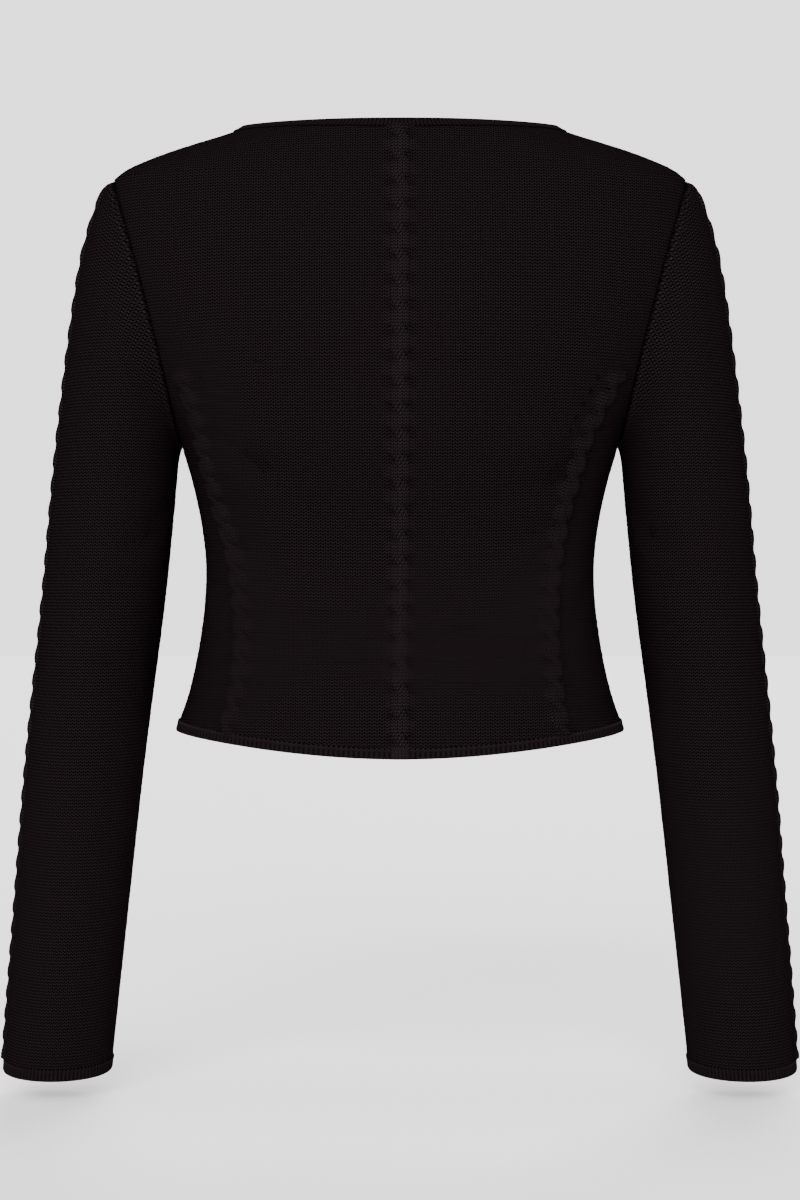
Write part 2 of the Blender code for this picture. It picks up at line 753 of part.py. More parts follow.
def build_front(name, side):
    """A plain front panel, from its band to the side seam."""
    outline = [(*corner, True) for corner in side_outline(FRONT, side)]
    for part in front_neck_parts()[1:]:
        share, z = front_neck_spot(part, PANEL_EDGE)
        outer, inner = body_skin(FRONT, side * share, z)
        outline.append((flat_spot(FRONT, side * share, z), outer, inner, True))
    foot = panel_foot_z(FRONT, 0.0)
    for z in spread(z, foot, ROW_STEP)[1:]:
        share = front_edge_share(z)
        outer, inner = body_skin(FRONT, side * share, z)
        outline.append((flat_spot(FRONT, side * share, z), outer, inner, True))
    whole = section_length(FRONT, foot)
    for around in spread(FRONT_FOOT_START, whole, FOOT_STEP)[1:-1]:
        share = side * around / whole
        z = panel_foot_z(FRONT, share)
        outer, inner = body_skin(FRONT, share, z)
        outline.append((flat_spot(FRONT, share, z), outer, inner, True))

    def neck_limit(share, z):
        """True where a point lies below the neckline."""
        if z < -NECK_DROP_SEAM - STRIP_CLEARANCE:
            return True
        x = body_point(FRONT, share, z).x
        along = min(1.0, -z / NECK_DROP_SEAM)
        widest = shoulder("half_width", -neck_point_drop())
        line = widest * (1.0 - along**NECK_SQUARENESS) ** (1.0 / NECK_SQUARENESS)
        return x > line + NECK_CLEARANCE

    skins = []
    for row_step, column_step, which in ((ROW_STEP, COLUMN_STEP, 0),
                                         (INNER_ROW_STEP, INNER_COLUMN_STEP, 1)):
        skin = []
        for z in body_rows(FRONT, row_step, FRONT_ROWS_TOP):
            whole = section_length(FRONT, z)
            start = BAND_HALF_WIDTH + STRIP_CLEARANCE
            for around in spread(start, whole - STRIP_CLEARANCE, column_step):
                share = around / whole
                if neck_limit(share, z):
                    point = body_skin(FRONT, side * share, z)[which]
                    skin.append(((side * around, z), point))
        skins.append(skin)
    return add_wall(name, outline, skins[0], [], skins[1])


# ---------------------------------------------------------------- sleeves

def sleeve_point(angle, z):
    """A point of the left sleeve's form on the section whose outermost point is at z;
    angle 0 is the outermost line, a quarter turn is the back."""
    outer = Vector((sleeve_outer("reach", z), 0.0, z))
    fan = smooth_line((z - SHOULDER_TIP_Z) / (CAP_END_Z - SHOULDER_TIP_Z))
    inner_z = UNDERARM_Z - CAP_INNER_DROP * fan if z > CAP_END_Z else z
    inner = Vector((sleeve_inner("reach", inner_z), 0.0, inner_z))
    middle = (outer + inner) / 2
    middle.y = -sleeve_form("forward", z)
    half = (outer - inner) / 2
    face = BACK if math.sin(angle) >= 0.0 else FRONT
    scoop = ARMHOLE_SCOOP[face] * (1.0 - smooth((SHOULDER_TIP_Z - z) / SCOOP_FADE))
    spot = middle + half * math.cos(angle)
    depth = sleeve_form("half_depth", z) * math.sin(angle)
    spot.y += depth
    spot.z -= depth * sleeve_form("tilt", z)
    spot.x -= scoop * math.sin(angle) ** 2
    return spot


def smooth_line(t):
    """A plain share held between 0 and 1."""
    return min(max(t, 0.0), 1.0)


def sleeve_normal(angle, z):
    """The direction out of the left sleeve's form."""
    lift, turn = 0.0010, 0.02
    high = min(z + lift, SHOULDER_TIP_Z)
    up = sleeve_point(angle, high) - sleeve_point(angle, z - lift)
    across = sleeve_point(angle + turn, z) - sleeve_point(angle - turn, z)
    return across.cross(up).normalized()


def sleeve_skin(angle, z, rise=0.0):
    """An outer and an inner point of the left sleeve."""
    spot = sleeve_point(angle, z)
    normal = sleeve_normal(angle, z)
    return spot + normal * rise, spot - normal * WALL


def cuff_seam_z():
    """Height of the sleeve's lower edge."""
    return CUFF_END_Z + CUFF_HEIGHT + SEAM_GAP


def sleeve_crossings():
    """Heights of the sleeve cable's crossings, from the shoulder tip down."""
    heights = [SHOULDER_TIP_Z - SLEEVE_CABLE_START]
    while heights[-1] > CUFF_END_Z:
        down = (heights[-1] - SHOULDER_TIP_Z) / (CUFF_END_Z - SHOULDER_TIP_Z)
        pitch = SLEEVE_PITCH_TOP + (SLEEVE_PITCH_END - SLEEVE_PITCH_TOP) * down
        heights.append(heights[-1] - pitch)
    return heights


def sleeve_height_at(crossings, turn):
    """Height at any count of crossings."""
    i = min(int(turn), len(crossings) - 2)
    return crossings[i] + (turn - i) * (crossings[i + 1] - crossings[i])


def sleeve_turn_at(crossings, z):
    """Count of crossings down to a height."""
    i = next((i for i, height in enumerate(crossings[1:]) if height < z), len(crossings) - 2)
    return i + (crossings[i] - z) / (crossings[i] - crossings[i + 1])


def cap_share(angle):
    """How much of the cap's height is left at an angle, as in a flat sleeve pattern."""
    least = CAP_INNER_DROP / (SHOULDER_TIP_Z - CAP_END_Z)
    return least + (1.0 - least) * 0.5 * (1.0 + math.cos(angle))


def lay(angle, z):
    """The flat pattern of a sleeve: a straight arm below a bell-shaped cap."""
    if z > CAP_END_Z:
        z = CAP_END_Z + (z - CAP_END_Z) * cap_share(angle)
    return (SLEEVE_RADIUS * angle, z)


def unlay(flat):
    """The angle and height of a spot of the flat pattern."""
    angle, z = flat[0] / SLEEVE_RADIUS, flat[1]
    if z > CAP_END_Z:
        z = CAP_END_Z + (z - CAP_END_Z) / cap_share(angle)
    return angle, z


def build_sleeve(name, side):
    """A set-in sleeve with its cable, built on the left and mirrored for the right."""
    axis = armhole_axis()
    crossings = sleeve_crossings()
    end = cuff_seam_z()

    def cap_edge(angle):
        face = BACK if math.sin(angle) >= 0.0 else FRONT
        turn = math.acos(max(-1.0, min(1.0, math.cos(angle))))
        outer = armhole_point(face, turn) + axis * SEAM_GAP
        return outer, outer + armhole_inward(face, turn) * WALL

    def strip_angle(across, z):
        return across * CABLE_HALF_WIDTH / sleeve_form("half_depth", z)

    seam_heights = spread(CAP_END_Z, end, ROW_STEP)
    strip = [strip_angle(a, end) for a in CABLE_ACROSS]
    rim = [a for a in spread(-math.pi, math.pi, 2.0 * math.pi / SLEEVE_FACETS)[1:-1]
           if abs(a) > strip[-1] + STRIP_CLEAR_ANGLE] + strip
    cap = armhole_angles()

    outline = []
    for angle in [-a for a in cap[:0:-1]] + cap[:-1]:
        outline.append((lay(angle, SHOULDER_TIP_Z), *cap_edge(angle), True))
    outline.append((lay(math.pi, SHOULDER_TIP_Z), *cap_edge(math.pi), False))
    for z in seam_heights[:-1]:
        outline.append((lay(math.pi, z), *sleeve_skin(math.pi, z), False))
    outline.append((lay(math.pi, end), *sleeve_skin(math.pi, end), True))
    for angle in sorted(rim, reverse=True):
        across = angle / strip[-1]
        turn = sleeve_turn_at(crossings, end + side * CABLE_SLANT * across * CABLE_HALF_WIDTH)
        outer, inner = sleeve_skin(angle, end, cable_rise(across, turn))
        outline.append((lay(angle, end), outer, inner, True))
    outline.append((lay(-math.pi, end), *sleeve_skin(-math.pi, end), False))
    for z in reversed(seam_heights[:-1]):
        outline.append((lay(-math.pi, z), *sleeve_skin(-math.pi, z), False))

    def spot(across, turn):
        z = sleeve_height_at(crossings, turn) - side * CABLE_SLANT * across * CABLE_HALF_WIDTH
        if not end + BORDER_CLEARANCE < z < SHOULDER_TIP_Z - BORDER_CLEARANCE:
            return None
        return lay(strip_angle(across, z), z)

    spots, lines = cable_grid(len(crossings), spot)
    outer = []
    for flat, rise in spots:
        angle, z = unlay(flat)
        rise *= smooth((SHOULDER_TIP_Z - z) / CABLE_FADE)
        outer.append((flat, sleeve_skin(angle, z, rise)[0]))
    inner = []
    cap_rows = spread(SHOULDER_TIP_Z - STRIP_CLEARANCE, CAP_END_Z, ROW_STEP)
    for arm_facets, arm_step, skin in ((SLEEVE_FACETS, ROW_STEP, outer),
                                       (SLEEVE_INNER_FACETS, INNER_ROW_STEP, inner)):
        arm_rows = spread(CAP_END_Z, end + arm_step / 2, arm_step)[1:]
        for row in cap_rows + arm_rows:
            facets = SLEEVE_FACETS if row in cap_rows else arm_facets
            for k in range(1, facets):
                angle = -math.pi + 2.0 * math.pi * k / facets
                edge = lay(angle, SHOULDER_TIP_Z)[1]
                if row > edge - STRIP_CLEARANCE:
                    continue
                flat = (SLEEVE_RADIUS * angle, row)
                z = unlay(flat)[1]
                if skin is outer and abs(angle) < strip_angle(1.0, z) + STRIP_CLEAR_ANGLE:
                    continue
                skin.append((flat, sleeve_skin(angle, z)[0 if skin is outer else 1]))
    made = add_wall(name, outline, outer, lines, inner)
    if side < 0:
        mirror_x(made)
    return made


def mirror_x(made):
    """Turn a left piece into a right one, its faces still pointing out."""
    mesh = made.data
    for vertex in mesh.vertices:
        vertex.co.x = -vertex.co.x
    mesh.flip_normals()


# ---------------------------------------------------------------- bands

def rib_rise(index):
    """Crest or valley of a one-by-one rib."""
    return RIB_RISE if index % 2 else -RIB_RISE


def resample(line, count):
    """Points spread evenly along a dense line of (key point, payload) pairs."""
    lengths = [0.0]
    for before, after in zip(line, line[1:]):
        lengths.append(lengths[-1] + (after[0] - before[0]).length)
    picked = []
    for i in range(count + 1):
        wanted = lengths[-1] * i / count
        k = min(max(bisect.bisect_right(lengths, wanted) - 1, 0), len(line) - 2)
        t = (wanted - lengths[k]) / (lengths[k + 1] - lengths[k])
        picked.append([a.lerp(b, t) for a, b in zip(line[k][1], line[k + 1][1])])
    return picked


def band_station(low_spot, high_spot, low_normal, high_normal, rise):
    """The four points of a band's section."""
    return (low_spot + low_normal * rise, high_spot + high_normal * rise,
            low_spot - low_normal * WALL, high_spot - high_normal * WALL)


def half_line(low_of, high_of, front_parts, back_parts):
    """A half band from the front's edge to the centre back, on the wearer's right."""
    line = []
    for face, parts in ((FRONT, front_parts), (BACK, back_parts)):
        for part in parts:
            low_share, low_z = low_of(face, part)
            high_share, high_z = high_of(face, part)
            low = body_point(face, -low_share, low_z)
            high = body_point(face, -high_share, high_z)
            payload = (low, high, body_normal(face, -low_share, low_z),
                       body_normal(face, -high_share, high_z))
            line.append(((low + high) / 2, payload))
    return line


def whole_band(line):
    """Both halves of a band, from the wearer's right front to the left."""
    def flipped(vector):
        return Vector((-vector.x, vector.y, vector.z))

    mirrored = [(flipped(key), tuple(flipped(v) for v in payload)) for key, payload in line]
    return line + mirrored[::-1][1:]


def sunk(station):
    """A band station lowered where the left front laps under."""
    low, high, low_normal, high_normal = station
    if low.y < 0.0:
        low = low - low_normal * lap(low.x)
        high = high - high_normal * lap(high.x)
    return low, high, low_normal, high_normal


def build_hem_band():
    """The hem band; the centre cable runs on over it."""
    def edge(height):
        def spot(face, share):
            return share, hem_z(face, share) + height
        return spot

    start = share_at(FRONT, BAND_HALF_WIDTH + SEAM_GAP, HEM_SIDE_Z)
    fronts = [start + (1.0 - start) * i / HEM_SAMPLES for i in range(HEM_SAMPLES)]
    backs = [1.0 - i / HEM_SAMPLES for i in range(HEM_SAMPLES + 1)]
    line = whole_band(half_line(edge(0.0), edge(HEM_HEIGHT), fronts, backs))
    stations = []
    for i, picked in enumerate(resample(line, 2 * HEM_RIBS)):
        low, high, low_normal, high_normal = sunk(picked)
        across = low.x / (CABLE_HALF_WIDTH * HEM_CABLE_SPREAD)
        rise = rib_rise(i)
        if low.y > 0.0 and abs(across) < 1.0:
            rise = HEM_CABLE_RISE * math.sqrt(1.0 - across * across)
        stations.append(band_station(low, high, low_normal, high_normal, rise))
    return add_band("hem_band", stations)


def build_neck_band():
    """The neck band, round the back neck and down both front necklines."""
    def edge(distance, place):
        def spot(face, part):
            if face == BACK:
                return part, back_neck_z(part, distance)
            return front_neck_spot(part, place)
        return spot

    fronts = front_neck_parts()[:0:-1]
    backs = back_neck_shares()[::-1]
    line = whole_band(half_line(edge(NECK_HEIGHT, 1.0), edge(0.0, 0.0), fronts, backs))
    stations = []
    for i, picked in enumerate(resample(line, 2 * NECK_RIBS)):
        stations.append(band_station(*sunk(picked), rib_rise(i)))
    return add_band("neck_band", stations, NECK_COARSE_EVERY)


def build_cuff(name, side):
    """A cuff, as a closed ring of ribs."""
    stations = []
    for i in range(2 * CUFF_RIBS):
        angle = 2.0 * math.pi * i / (2 * CUFF_RIBS)
        low_z, high_z = CUFF_END_Z, CUFF_END_Z + CUFF_HEIGHT
        stations.append(band_station(
            sleeve_point(angle, low_z), sleeve_point(angle, high_z),
            sleeve_normal(angle, low_z), sleeve_normal(angle, high_z), rib_rise(i)))
    made = add_band(name, stations, closed=True)
    if side < 0:
        mirror_x(made)
    return made


def front_band_heights():
    """Heights at which the front bands have their points."""
    return spread(hem_z(FRONT, 0.0), -NECK_DROP_TOP, FRONT_BAND_STEP)


def front_band_middle(z):
    """A point on the middle of the buttonhole band, between the band's own points."""
    heights = front_band_heights()
    i = min(max(bisect.bisect_right(heights, z) - 1, 0), len(heights) - 2)
    t = (z - heights[i]) / (heights[i + 1] - heights[i])
    return body_point(FRONT, 0.0, heights[i]).lerp(body_point(FRONT, 0.0, heights[i + 1]), t)


def build_front_band(name, left_x, right_x, sink):
    """A straight front band from the hem's lower edge to the neckline's top edge."""
    heights = front_band_heights()
    columns = spread(left_x, right_x, BAND_HALF_WIDTH)
    outer, inner = [], []
    for z in heights:
        for x in columns:
            share = math.copysign(share_at(FRONT, x, z), x)
            spot = body_point(FRONT, share, z)
            normal = body_normal(FRONT, share, z)
            outer.append(spot - normal * sink)
            inner.append(spot - normal * (sink + WALL))
    wide, tall = len(columns), len(heights)
    base = len(outer)
    faces = []
    for j in range(tall - 1):
        for i in range(wide - 1):
            corner = j * wide + i
            quad = (corner, corner + 1, corner + 1 + wide, corner + wide)
            faces.append(quad)
            faces.append(tuple(base + k for k in reversed(quad)))
    border = list(range(wide))
    border += [j * wide + wide - 1 for j in range(1, tall)]
    border += [(tall - 1) * wide + i for i in range(wide - 2, -1, -1)]
    border += [j * wide for j in range(tall - 2, 0, -1)]
    for here, after in zip(border, border[1:] + border[:1]):
        faces.append((after, here, base + here, base + after))
    return add_object(name, outer + inner, faces)


def build_buttons():
    """The buttons, down the centre front on the buttonhole band."""
    high = -NECK_DROP_TOP - BUTTON_END_MARGIN
    low = hem_z(FRONT, 0.0) + BUTTON_END_MARGIN
    for number in range(BUTTON_COUNT):
        z = high + (low - high) * number / (BUTTON_COUNT - 1)
        under = [front_band_middle(z + BUTTON_RADIUS * t) for t in (-1.0, -0.5, 0.0, 0.5, 1.0)]
        upwards = (under[-1] - under[0]).normalized()
        sideways = Vector((1.0, 0.0, 0.0))
        out = sideways.cross(upwards)
        middle = (under[0] + under[-1]) / 2
        proud = max((spot - middle).dot(out) for spot in under)
        seat = middle + out * (proud + SEAM_GAP)
        points, faces = [seat], []
        for share, level in BUTTON_PROFILE[1:-1]:
            for k in range(BUTTON_SIDES):
                turn = 2.0 * math.pi * k / BUTTON_SIDES
                ray = sideways * math.cos(turn) + upwards * math.sin(turn)
                points.append(seat + ray * share * BUTTON_RADIUS + out * level * BUTTON_THICKNESS)
        points.append(seat + out * BUTTON_PROFILE[-1][1] * BUTTON_THICKNESS)
        rings = len(BUTTON_PROFILE) - 2
        for k in range(BUTTON_SIDES):
            after = (k + 1) % BUTTON_SIDES
            faces.append((0, 1 + k, 1 + after))
            for ring in range(rings - 1):
                start = 1 + ring * BUTTON_SIDES
                faces.append((start + k, start + after, start + BUTTON_SIDES + after,
                              start + BUTTON_SIDES + k))
            start = 1 + (rings - 1) * BUTTON_SIDES
            faces.append((start + k, start + after, len(points) - 1))
        add_object("button_%d" % (number + 1), points, faces, "button_black")


# ---------------------------------------------------------------- the whole garment

def clear_scene():
    """Start from an empty scene."""
    for old in list(bpy.data.objects):
        bpy.data.objects.remove(old, do_unlink=True)


def main():
    """Build every piece of the cardigan."""
    clear_scene()
    build_back()
    build_front("front_left", 1)
    build_front("front_right", -1)
    build_sleeve("sleeve_left", 1)
    build_sleeve("sleeve_right", -1)
    build_neck_band()
    build_hem_band()
    build_cuff("cuff_left", 1)
    build_cuff("cuff_right", -1)
    build_front_band("button_band", -BAND_HALF_WIDTH + SEAM_GAP, BAND_HALF_WIDTH, LAP_DEPTH)
    build_front_band("buttonhole_band", -BAND_HALF_WIDTH, BAND_HALF_WIDTH, 0.0)
    build_buttons()


main()
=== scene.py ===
"""The look of a cropped cable-knit cardigan, filled out as if worn.

Metres, +Z up, the front faces -Y, the wearer's left is +X. Each knit piece is a thin shell
on the form that the frame's solids have, with its cables, ribs and linking chains in
relief and painted light and shade on them; its single stitches and their painted shade are in the
material.
"""

import math

import bpy
import numpy as np
from bpy.props import FloatProperty, FloatVectorProperty, IntProperty, PointerProperty
from mathutils import Matrix, Vector


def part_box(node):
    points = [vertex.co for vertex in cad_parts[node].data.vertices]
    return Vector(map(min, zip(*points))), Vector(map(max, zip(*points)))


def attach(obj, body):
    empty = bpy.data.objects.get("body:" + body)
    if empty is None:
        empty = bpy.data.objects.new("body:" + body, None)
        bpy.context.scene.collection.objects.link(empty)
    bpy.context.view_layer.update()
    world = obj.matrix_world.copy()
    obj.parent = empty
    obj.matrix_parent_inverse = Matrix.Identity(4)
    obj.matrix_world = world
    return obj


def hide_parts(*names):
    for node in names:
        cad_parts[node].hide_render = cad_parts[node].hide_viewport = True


bl_info = {
    "name": "Cropped Cable Cardigan",
    "version": (1, 0, 0),
    "blender": (4, 5, 0),
    "location": "3D View > Sidebar > Cardigan",
    "description": "Knit shells, buttons and a studio for a cropped cardigan",
    "category": "Object",
}

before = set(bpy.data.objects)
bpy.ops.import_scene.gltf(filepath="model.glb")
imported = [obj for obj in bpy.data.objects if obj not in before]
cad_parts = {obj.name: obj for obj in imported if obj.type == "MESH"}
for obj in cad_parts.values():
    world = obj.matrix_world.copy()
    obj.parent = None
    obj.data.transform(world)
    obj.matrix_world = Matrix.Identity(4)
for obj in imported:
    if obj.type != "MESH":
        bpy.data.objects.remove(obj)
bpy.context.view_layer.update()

# ---------------------------------------------------------------- the form, as the solids have it

BACK, FRONT = 1, -1
SEAM_GAP = 0.0003

# height, half width, back depth, front depth, squareness
TORSO = np.array((
    (-0.4120, 0.1497, 0.1068, 0.1090, 2.30),
    (-0.4020, 0.1484, 0.1052, 0.1084, 2.30),
    (-0.3780, 0.1405, 0.0990, 0.1060, 2.32),
    (-0.3510, 0.1345, 0.0880, 0.1030, 2.35),
    (-0.3240, 0.1306, 0.0770, 0.1005, 2.40),
    (-0.3030, 0.1293, 0.0715, 0.1005, 2.40),
    (-0.2840, 0.1300, 0.0710, 0.1040, 2.40),
    (-0.2600, 0.1335, 0.0760, 0.1120, 2.40),
    (-0.2370, 0.1388, 0.0830, 0.1200, 2.40),
    (-0.2140, 0.1453, 0.0890, 0.1240, 2.40),
    (-0.1700, 0.1530, 0.0945, 0.1200, 2.40),
    (-0.1260, 0.1650, 0.0955, 0.1100, 2.40),
    (-0.0840, 0.1766, 0.0900, 0.0985, 2.36),
    (-0.0500, 0.1860, 0.0800, 0.0850, 2.30),
    (-0.0240, 0.1900, 0.0690, 0.0700, 2.25),
    (-0.0100, 0.1900, 0.0615, 0.0600, 2.20),
    (0.0000, 0.1900, 0.0560, 0.0530, 2.15),
))
TORSO_HALF_WIDTH, TORSO_BACK, TORSO_FRONT, TORSO_SQUARENESS = 1, 2, 3, 4

# height, half width of the shoulder line
SHOULDER = np.array((
    (-0.0380, 0.1905),
    (-0.0320, 0.1826),
    (-0.0267, 0.1710),
    (-0.0213, 0.1568),
    (-0.0160, 0.1408),
    (-0.0107, 0.1230),
    (-0.0053, 0.1082),
    (0.0000, 0.1020),
))
ARMHOLE_X, ARMHOLE_Z, ARMHOLE_LEAN = 0.1679, -0.1260, 0.0226
ARMHOLE_RISE, ARMHOLE_DEPTH = 0.0880, 0.0520
ARMHOLE_SCOOP = {BACK: 0.0035, FRONT: 0.0090}
SCOOP_FADE = 0.0500
SHOULDER_TIP_Z = ARMHOLE_Z + ARMHOLE_RISE
UNDERARM_Z = ARMHOLE_Z - ARMHOLE_RISE

# height, reach of the sleeve's outermost line
SLEEVE_OUTER = np.array((
    (-0.6330, 0.2662),
    (-0.5220, 0.2567),
    (-0.4240, 0.2483),
    (-0.3170, 0.2370),
    (-0.2240, 0.2287),
    (-0.1440, 0.2195),
    (-0.0910, 0.2115),
    (-0.0640, 0.2044),
    (-0.0480, 0.1984),
    (-0.0415, 0.1950),
    (-0.0380, 0.1905),
))
# height, reach of its innermost line
SLEEVE_INNER = np.array((
    (-0.6330, 0.1940),
    (-0.5180, 0.1811),
    (-0.4240, 0.1703),
    (-0.3170, 0.1563),
    (-0.2510, 0.1497),
    (-0.2240, 0.1473),
    (-0.2140, 0.1453),
))
# height, half depth, forward, tilt
SLEEVE_FORM = np.array((
    (-0.6330, 0.0365, 0.0140, 0.090),
    (-0.5400, 0.0385, 0.0080, 0.070),
    (-0.4400, 0.0415, 0.0030, 0.045),
    (-0.3400, 0.0450, -0.0010, 0.010),
    (-0.2400, 0.0490, -0.0010, 0.000),
    (-0.1600, 0.0520, 0.0000, 0.000),
    (-0.0900, 0.0530, 0.0000, 0.000),
    (-0.0380, 0.0520, 0.0000, 0.000),
))
CAP_END_Z = -0.2240
CAP_INNER_DROP = 0.0100
SLEEVE_RADIUS = 0.0435

HEM_SIDE_Z, HEM_HEIGHT = -0.4030, 0.0060
HEM_DROP = {BACK: 0.0145, FRONT: 0.0020}
CUFF_END_Z, CUFF_HEIGHT = -0.6315, 0.0074
NECK_HEIGHT, NECK_BACK_DROP, NECK_BACK_POWER = 0.0062, 0.0050, 6
NECK_DROP_TOP, NECK_DROP_SEAM, NECK_SQUARENESS = 0.0880, 0.0935, 2.05
PANEL_EDGE = 1.0 + SEAM_GAP / NECK_HEIGHT
BAND_HALF_WIDTH, LAP_DEPTH, LAP_RAMP = 0.0090, 0.0023, 0.0150
FRONT_EDGE_X = BAND_HALF_WIDTH - 0.0002     # the panels go this far under their bands

# height, offsets of the left and the right princess cable's middles from the centre back
PRINCESS = np.array((
    (-0.4120, 0.1140, 0.1060),
    (-0.4010, 0.1120, 0.1043),
    (-0.3900, 0.1094, 0.1022),
    (-0.3750, 0.1059, 0.1002),
    (-0.3600, 0.1040, 0.0991),
    (-0.3440, 0.1033, 0.0983),
    (-0.3280, 0.1040, 0.0983),
    (-0.3120, 0.1057, 0.0988),
    (-0.2970, 0.1077, 0.1001),
    (-0.2800, 0.1117, 0.1029),
    (-0.2650, 0.1166, 0.1057),
    (-0.2510, 0.1213, 0.1092),
    (-0.2380, 0.1249, 0.1129),
    (-0.2270, 0.1277, 0.1162),
    (-0.2150, 0.1303, 0.1203),
    (-0.2030, 0.1330, 0.1255),
    (-0.1920, 0.1362, 0.1312),
    (-0.1820, 0.1395, 0.1368),
    (-0.1700, 0.1435, 0.1430),
))
PRINCESS_COLUMN = {1: 1, -1: 2}
PRINCESS_TOP = -0.1650
CENTRE_PITCH, PRINCESS_PITCH = 0.0162, 0.0146
SLEEVE_PITCH_TOP, SLEEVE_PITCH_END, SLEEVE_CABLE_START = 0.0180, 0.0138, 0.0040


def curve(table, column, keys):
    """A table's column read at any keys, on a smooth curve through its rows."""
    xs, ys = table[:, 0], table[:, column]
    keys = np.clip(keys, xs[0], xs[-1])
    slopes = np.empty(len(xs))
    slopes[1:-1] = (ys[2:] - ys[:-2]) / (xs[2:] - xs[:-2])
    slopes[0] = (ys[1] - ys[0]) / (xs[1] - xs[0])
    slopes[-1] = (ys[-1] - ys[-2]) / (xs[-1] - xs[-2])
    i = np.clip(np.searchsorted(xs, keys, side="right") - 1, 0, len(xs) - 2)
    span = xs[i + 1] - xs[i]
    t = (keys - xs[i]) / span
    return (ys[i] * (2 * t**3 - 3 * t**2 + 1) + slopes[i] * span * (t**3 - 2 * t**2 + t)
            + ys[i + 1] * (3 * t**2 - 2 * t**3) + slopes[i + 1] * span * (t**3 - t**2))


def smooth(t):
    """An eased step from 0 to 1."""
    t = np.clip(t, 0.0, 1.0)
    return t * t * (3.0 - 2.0 * t)


SECTION_STEPS = 48


def section(face, z):
    """Level sections of half the body at flat arrays of heights."""
    depth = curve(TORSO, TORSO_BACK if face == BACK else TORSO_FRONT, z)
    power = curve(TORSO, TORSO_SQUARENESS, z)
    turn = np.arccos(np.clip((z - ARMHOLE_Z) / ARMHOLE_RISE, -1.0, 1.0))
    arm_x = ARMHOLE_X + ARMHOLE_LEAN * np.cos(turn) - ARMHOLE_SCOOP[face] * np.sin(turn) ** 2
    end_x = np.where(z >= SHOULDER_TIP_Z, curve(SHOULDER, 1, z),
                     np.where(z <= UNDERARM_Z, curve(TORSO, TORSO_HALF_WIDTH, z), arm_x))
    end_y = ARMHOLE_DEPTH * np.sin(turn)
    reach = (1.0 - (end_y / depth) ** power) ** (1.0 / power)
    half_width = end_x / reach
    last = np.arcsin(np.minimum(1.0, reach ** (power / 2.0)))
    angle = last[:, None] * np.linspace(0.0, 1.0, SECTION_STEPS + 1)
    inverse = (2.0 / power)[:, None]
    xs = half_width[:, None] * np.sin(angle) ** inverse
    ys = depth[:, None] * np.maximum(np.cos(angle), 0.0) ** inverse
    lengths = np.zeros_like(xs)
    lengths[:, 1:] = np.cumsum(np.hypot(np.diff(xs, axis=1), np.diff(ys, axis=1)), axis=1)
    return depth, power, half_width, last, xs, lengths


def body_at(face, share, z):
    """Points of the body's form; a negative share is on the wearer's right."""
    share, z = np.broadcast_arrays(np.asarray(share, float), np.asarray(z, float))
    shape = share.shape
    share, z = share.ravel(), z.ravel()
    depth, power, half_width, last, _, lengths = section(face, z)
    wanted = np.minimum(np.abs(share), 1.0) * lengths[:, -1]
    i = np.clip((lengths <= wanted[:, None]).sum(axis=1) - 1, 0, SECTION_STEPS - 1)
    rows = np.arange(len(z))
    t = (wanted - lengths[rows, i]) / (lengths[rows, i + 1] - lengths[rows, i])
    angle = last * (i + t) / SECTION_STEPS
    x = half_width * np.sin(angle) ** (2.0 / power)
    y = depth * np.maximum(np.cos(angle), 0.0) ** (2.0 / power)
    return np.stack((np.copysign(x, share), face * y, z), axis=1).reshape(*shape, 3)


def share_at(face, x, z):
    """Where a distance from the centre plane lies along a section, from 0 to 1."""
    x, z = np.atleast_1d(x).astype(float), np.atleast_1d(z).astype(float)
    xs, lengths = section(face, z)[4:]
    x = np.minimum(np.abs(x), xs[:, -1])
    i = np.clip((xs <= x[:, None]).sum(axis=1) - 1, 0, SECTION_STEPS - 1)
    rows = np.arange(len(z))
    t = (x - xs[rows, i]) / (xs[rows, i + 1] - xs[rows, i])
    return (lengths[rows, i] + t * (lengths[rows, i + 1] - lengths[rows, i])) / lengths[:, -1]


HEIGHTS = np.linspace(-0.4300, 0.0, 861)
HALF_LENGTHS = {face: section(face, HEIGHTS)[5][:, -1] for face in (BACK, FRONT)}
PRINCESS_AROUND = {side: share_at(BACK, curve(PRINCESS, column, HEIGHTS), HEIGHTS)
                   * HALF_LENGTHS[BACK] for side, column in PRINCESS_COLUMN.items()}


def half_length(face, z):
    """Length of half a section at each height."""
    return np.interp(z, HEIGHTS, HALF_LENGTHS[face])


def facing(normal, outward):
    """Normals turned to the side that other directions show as out."""
    return normal * np.sign((normal * outward).sum(-1, keepdims=True))


def body_normal(face, share, z):
    """The direction out of the body's form."""
    nudge, lift, core_drop = 0.004, 0.0008, 0.05
    share = np.asarray(share, float)
    side = np.copysign(1.0, share)
    near = np.maximum(np.abs(share) - nudge, 0.0)
    far = np.minimum(np.abs(share) + nudge, 1.0)
    across = body_at(face, side * far, z) - body_at(face, side * near, z)
    up = body_at(face, share, np.minimum(z + lift, 0.0)) - body_at(face, share, z - lift)
    normal = np.cross(across, up)
    normal /= np.linalg.norm(normal, axis=-1, keepdims=True)
    core = np.stack((0 * share, 0 * share, z - core_drop + 0 * share), -1)
    return facing(normal, body_at(face, share, z) - core)


def lap(points):
    """How far the wearer's left front lies below the form, to go under the right one."""
    x = points[..., 0]
    return np.where(x > 0.0, LAP_DEPTH * (1.0 - smooth((x - BAND_HALF_WIDTH) / LAP_RAMP)), 0.0)


def hem_z(face, share):
    """Height of the hem's lower edge."""
    return HEM_SIDE_Z - HEM_DROP[face] * np.cos(0.5 * np.pi * share) ** 2


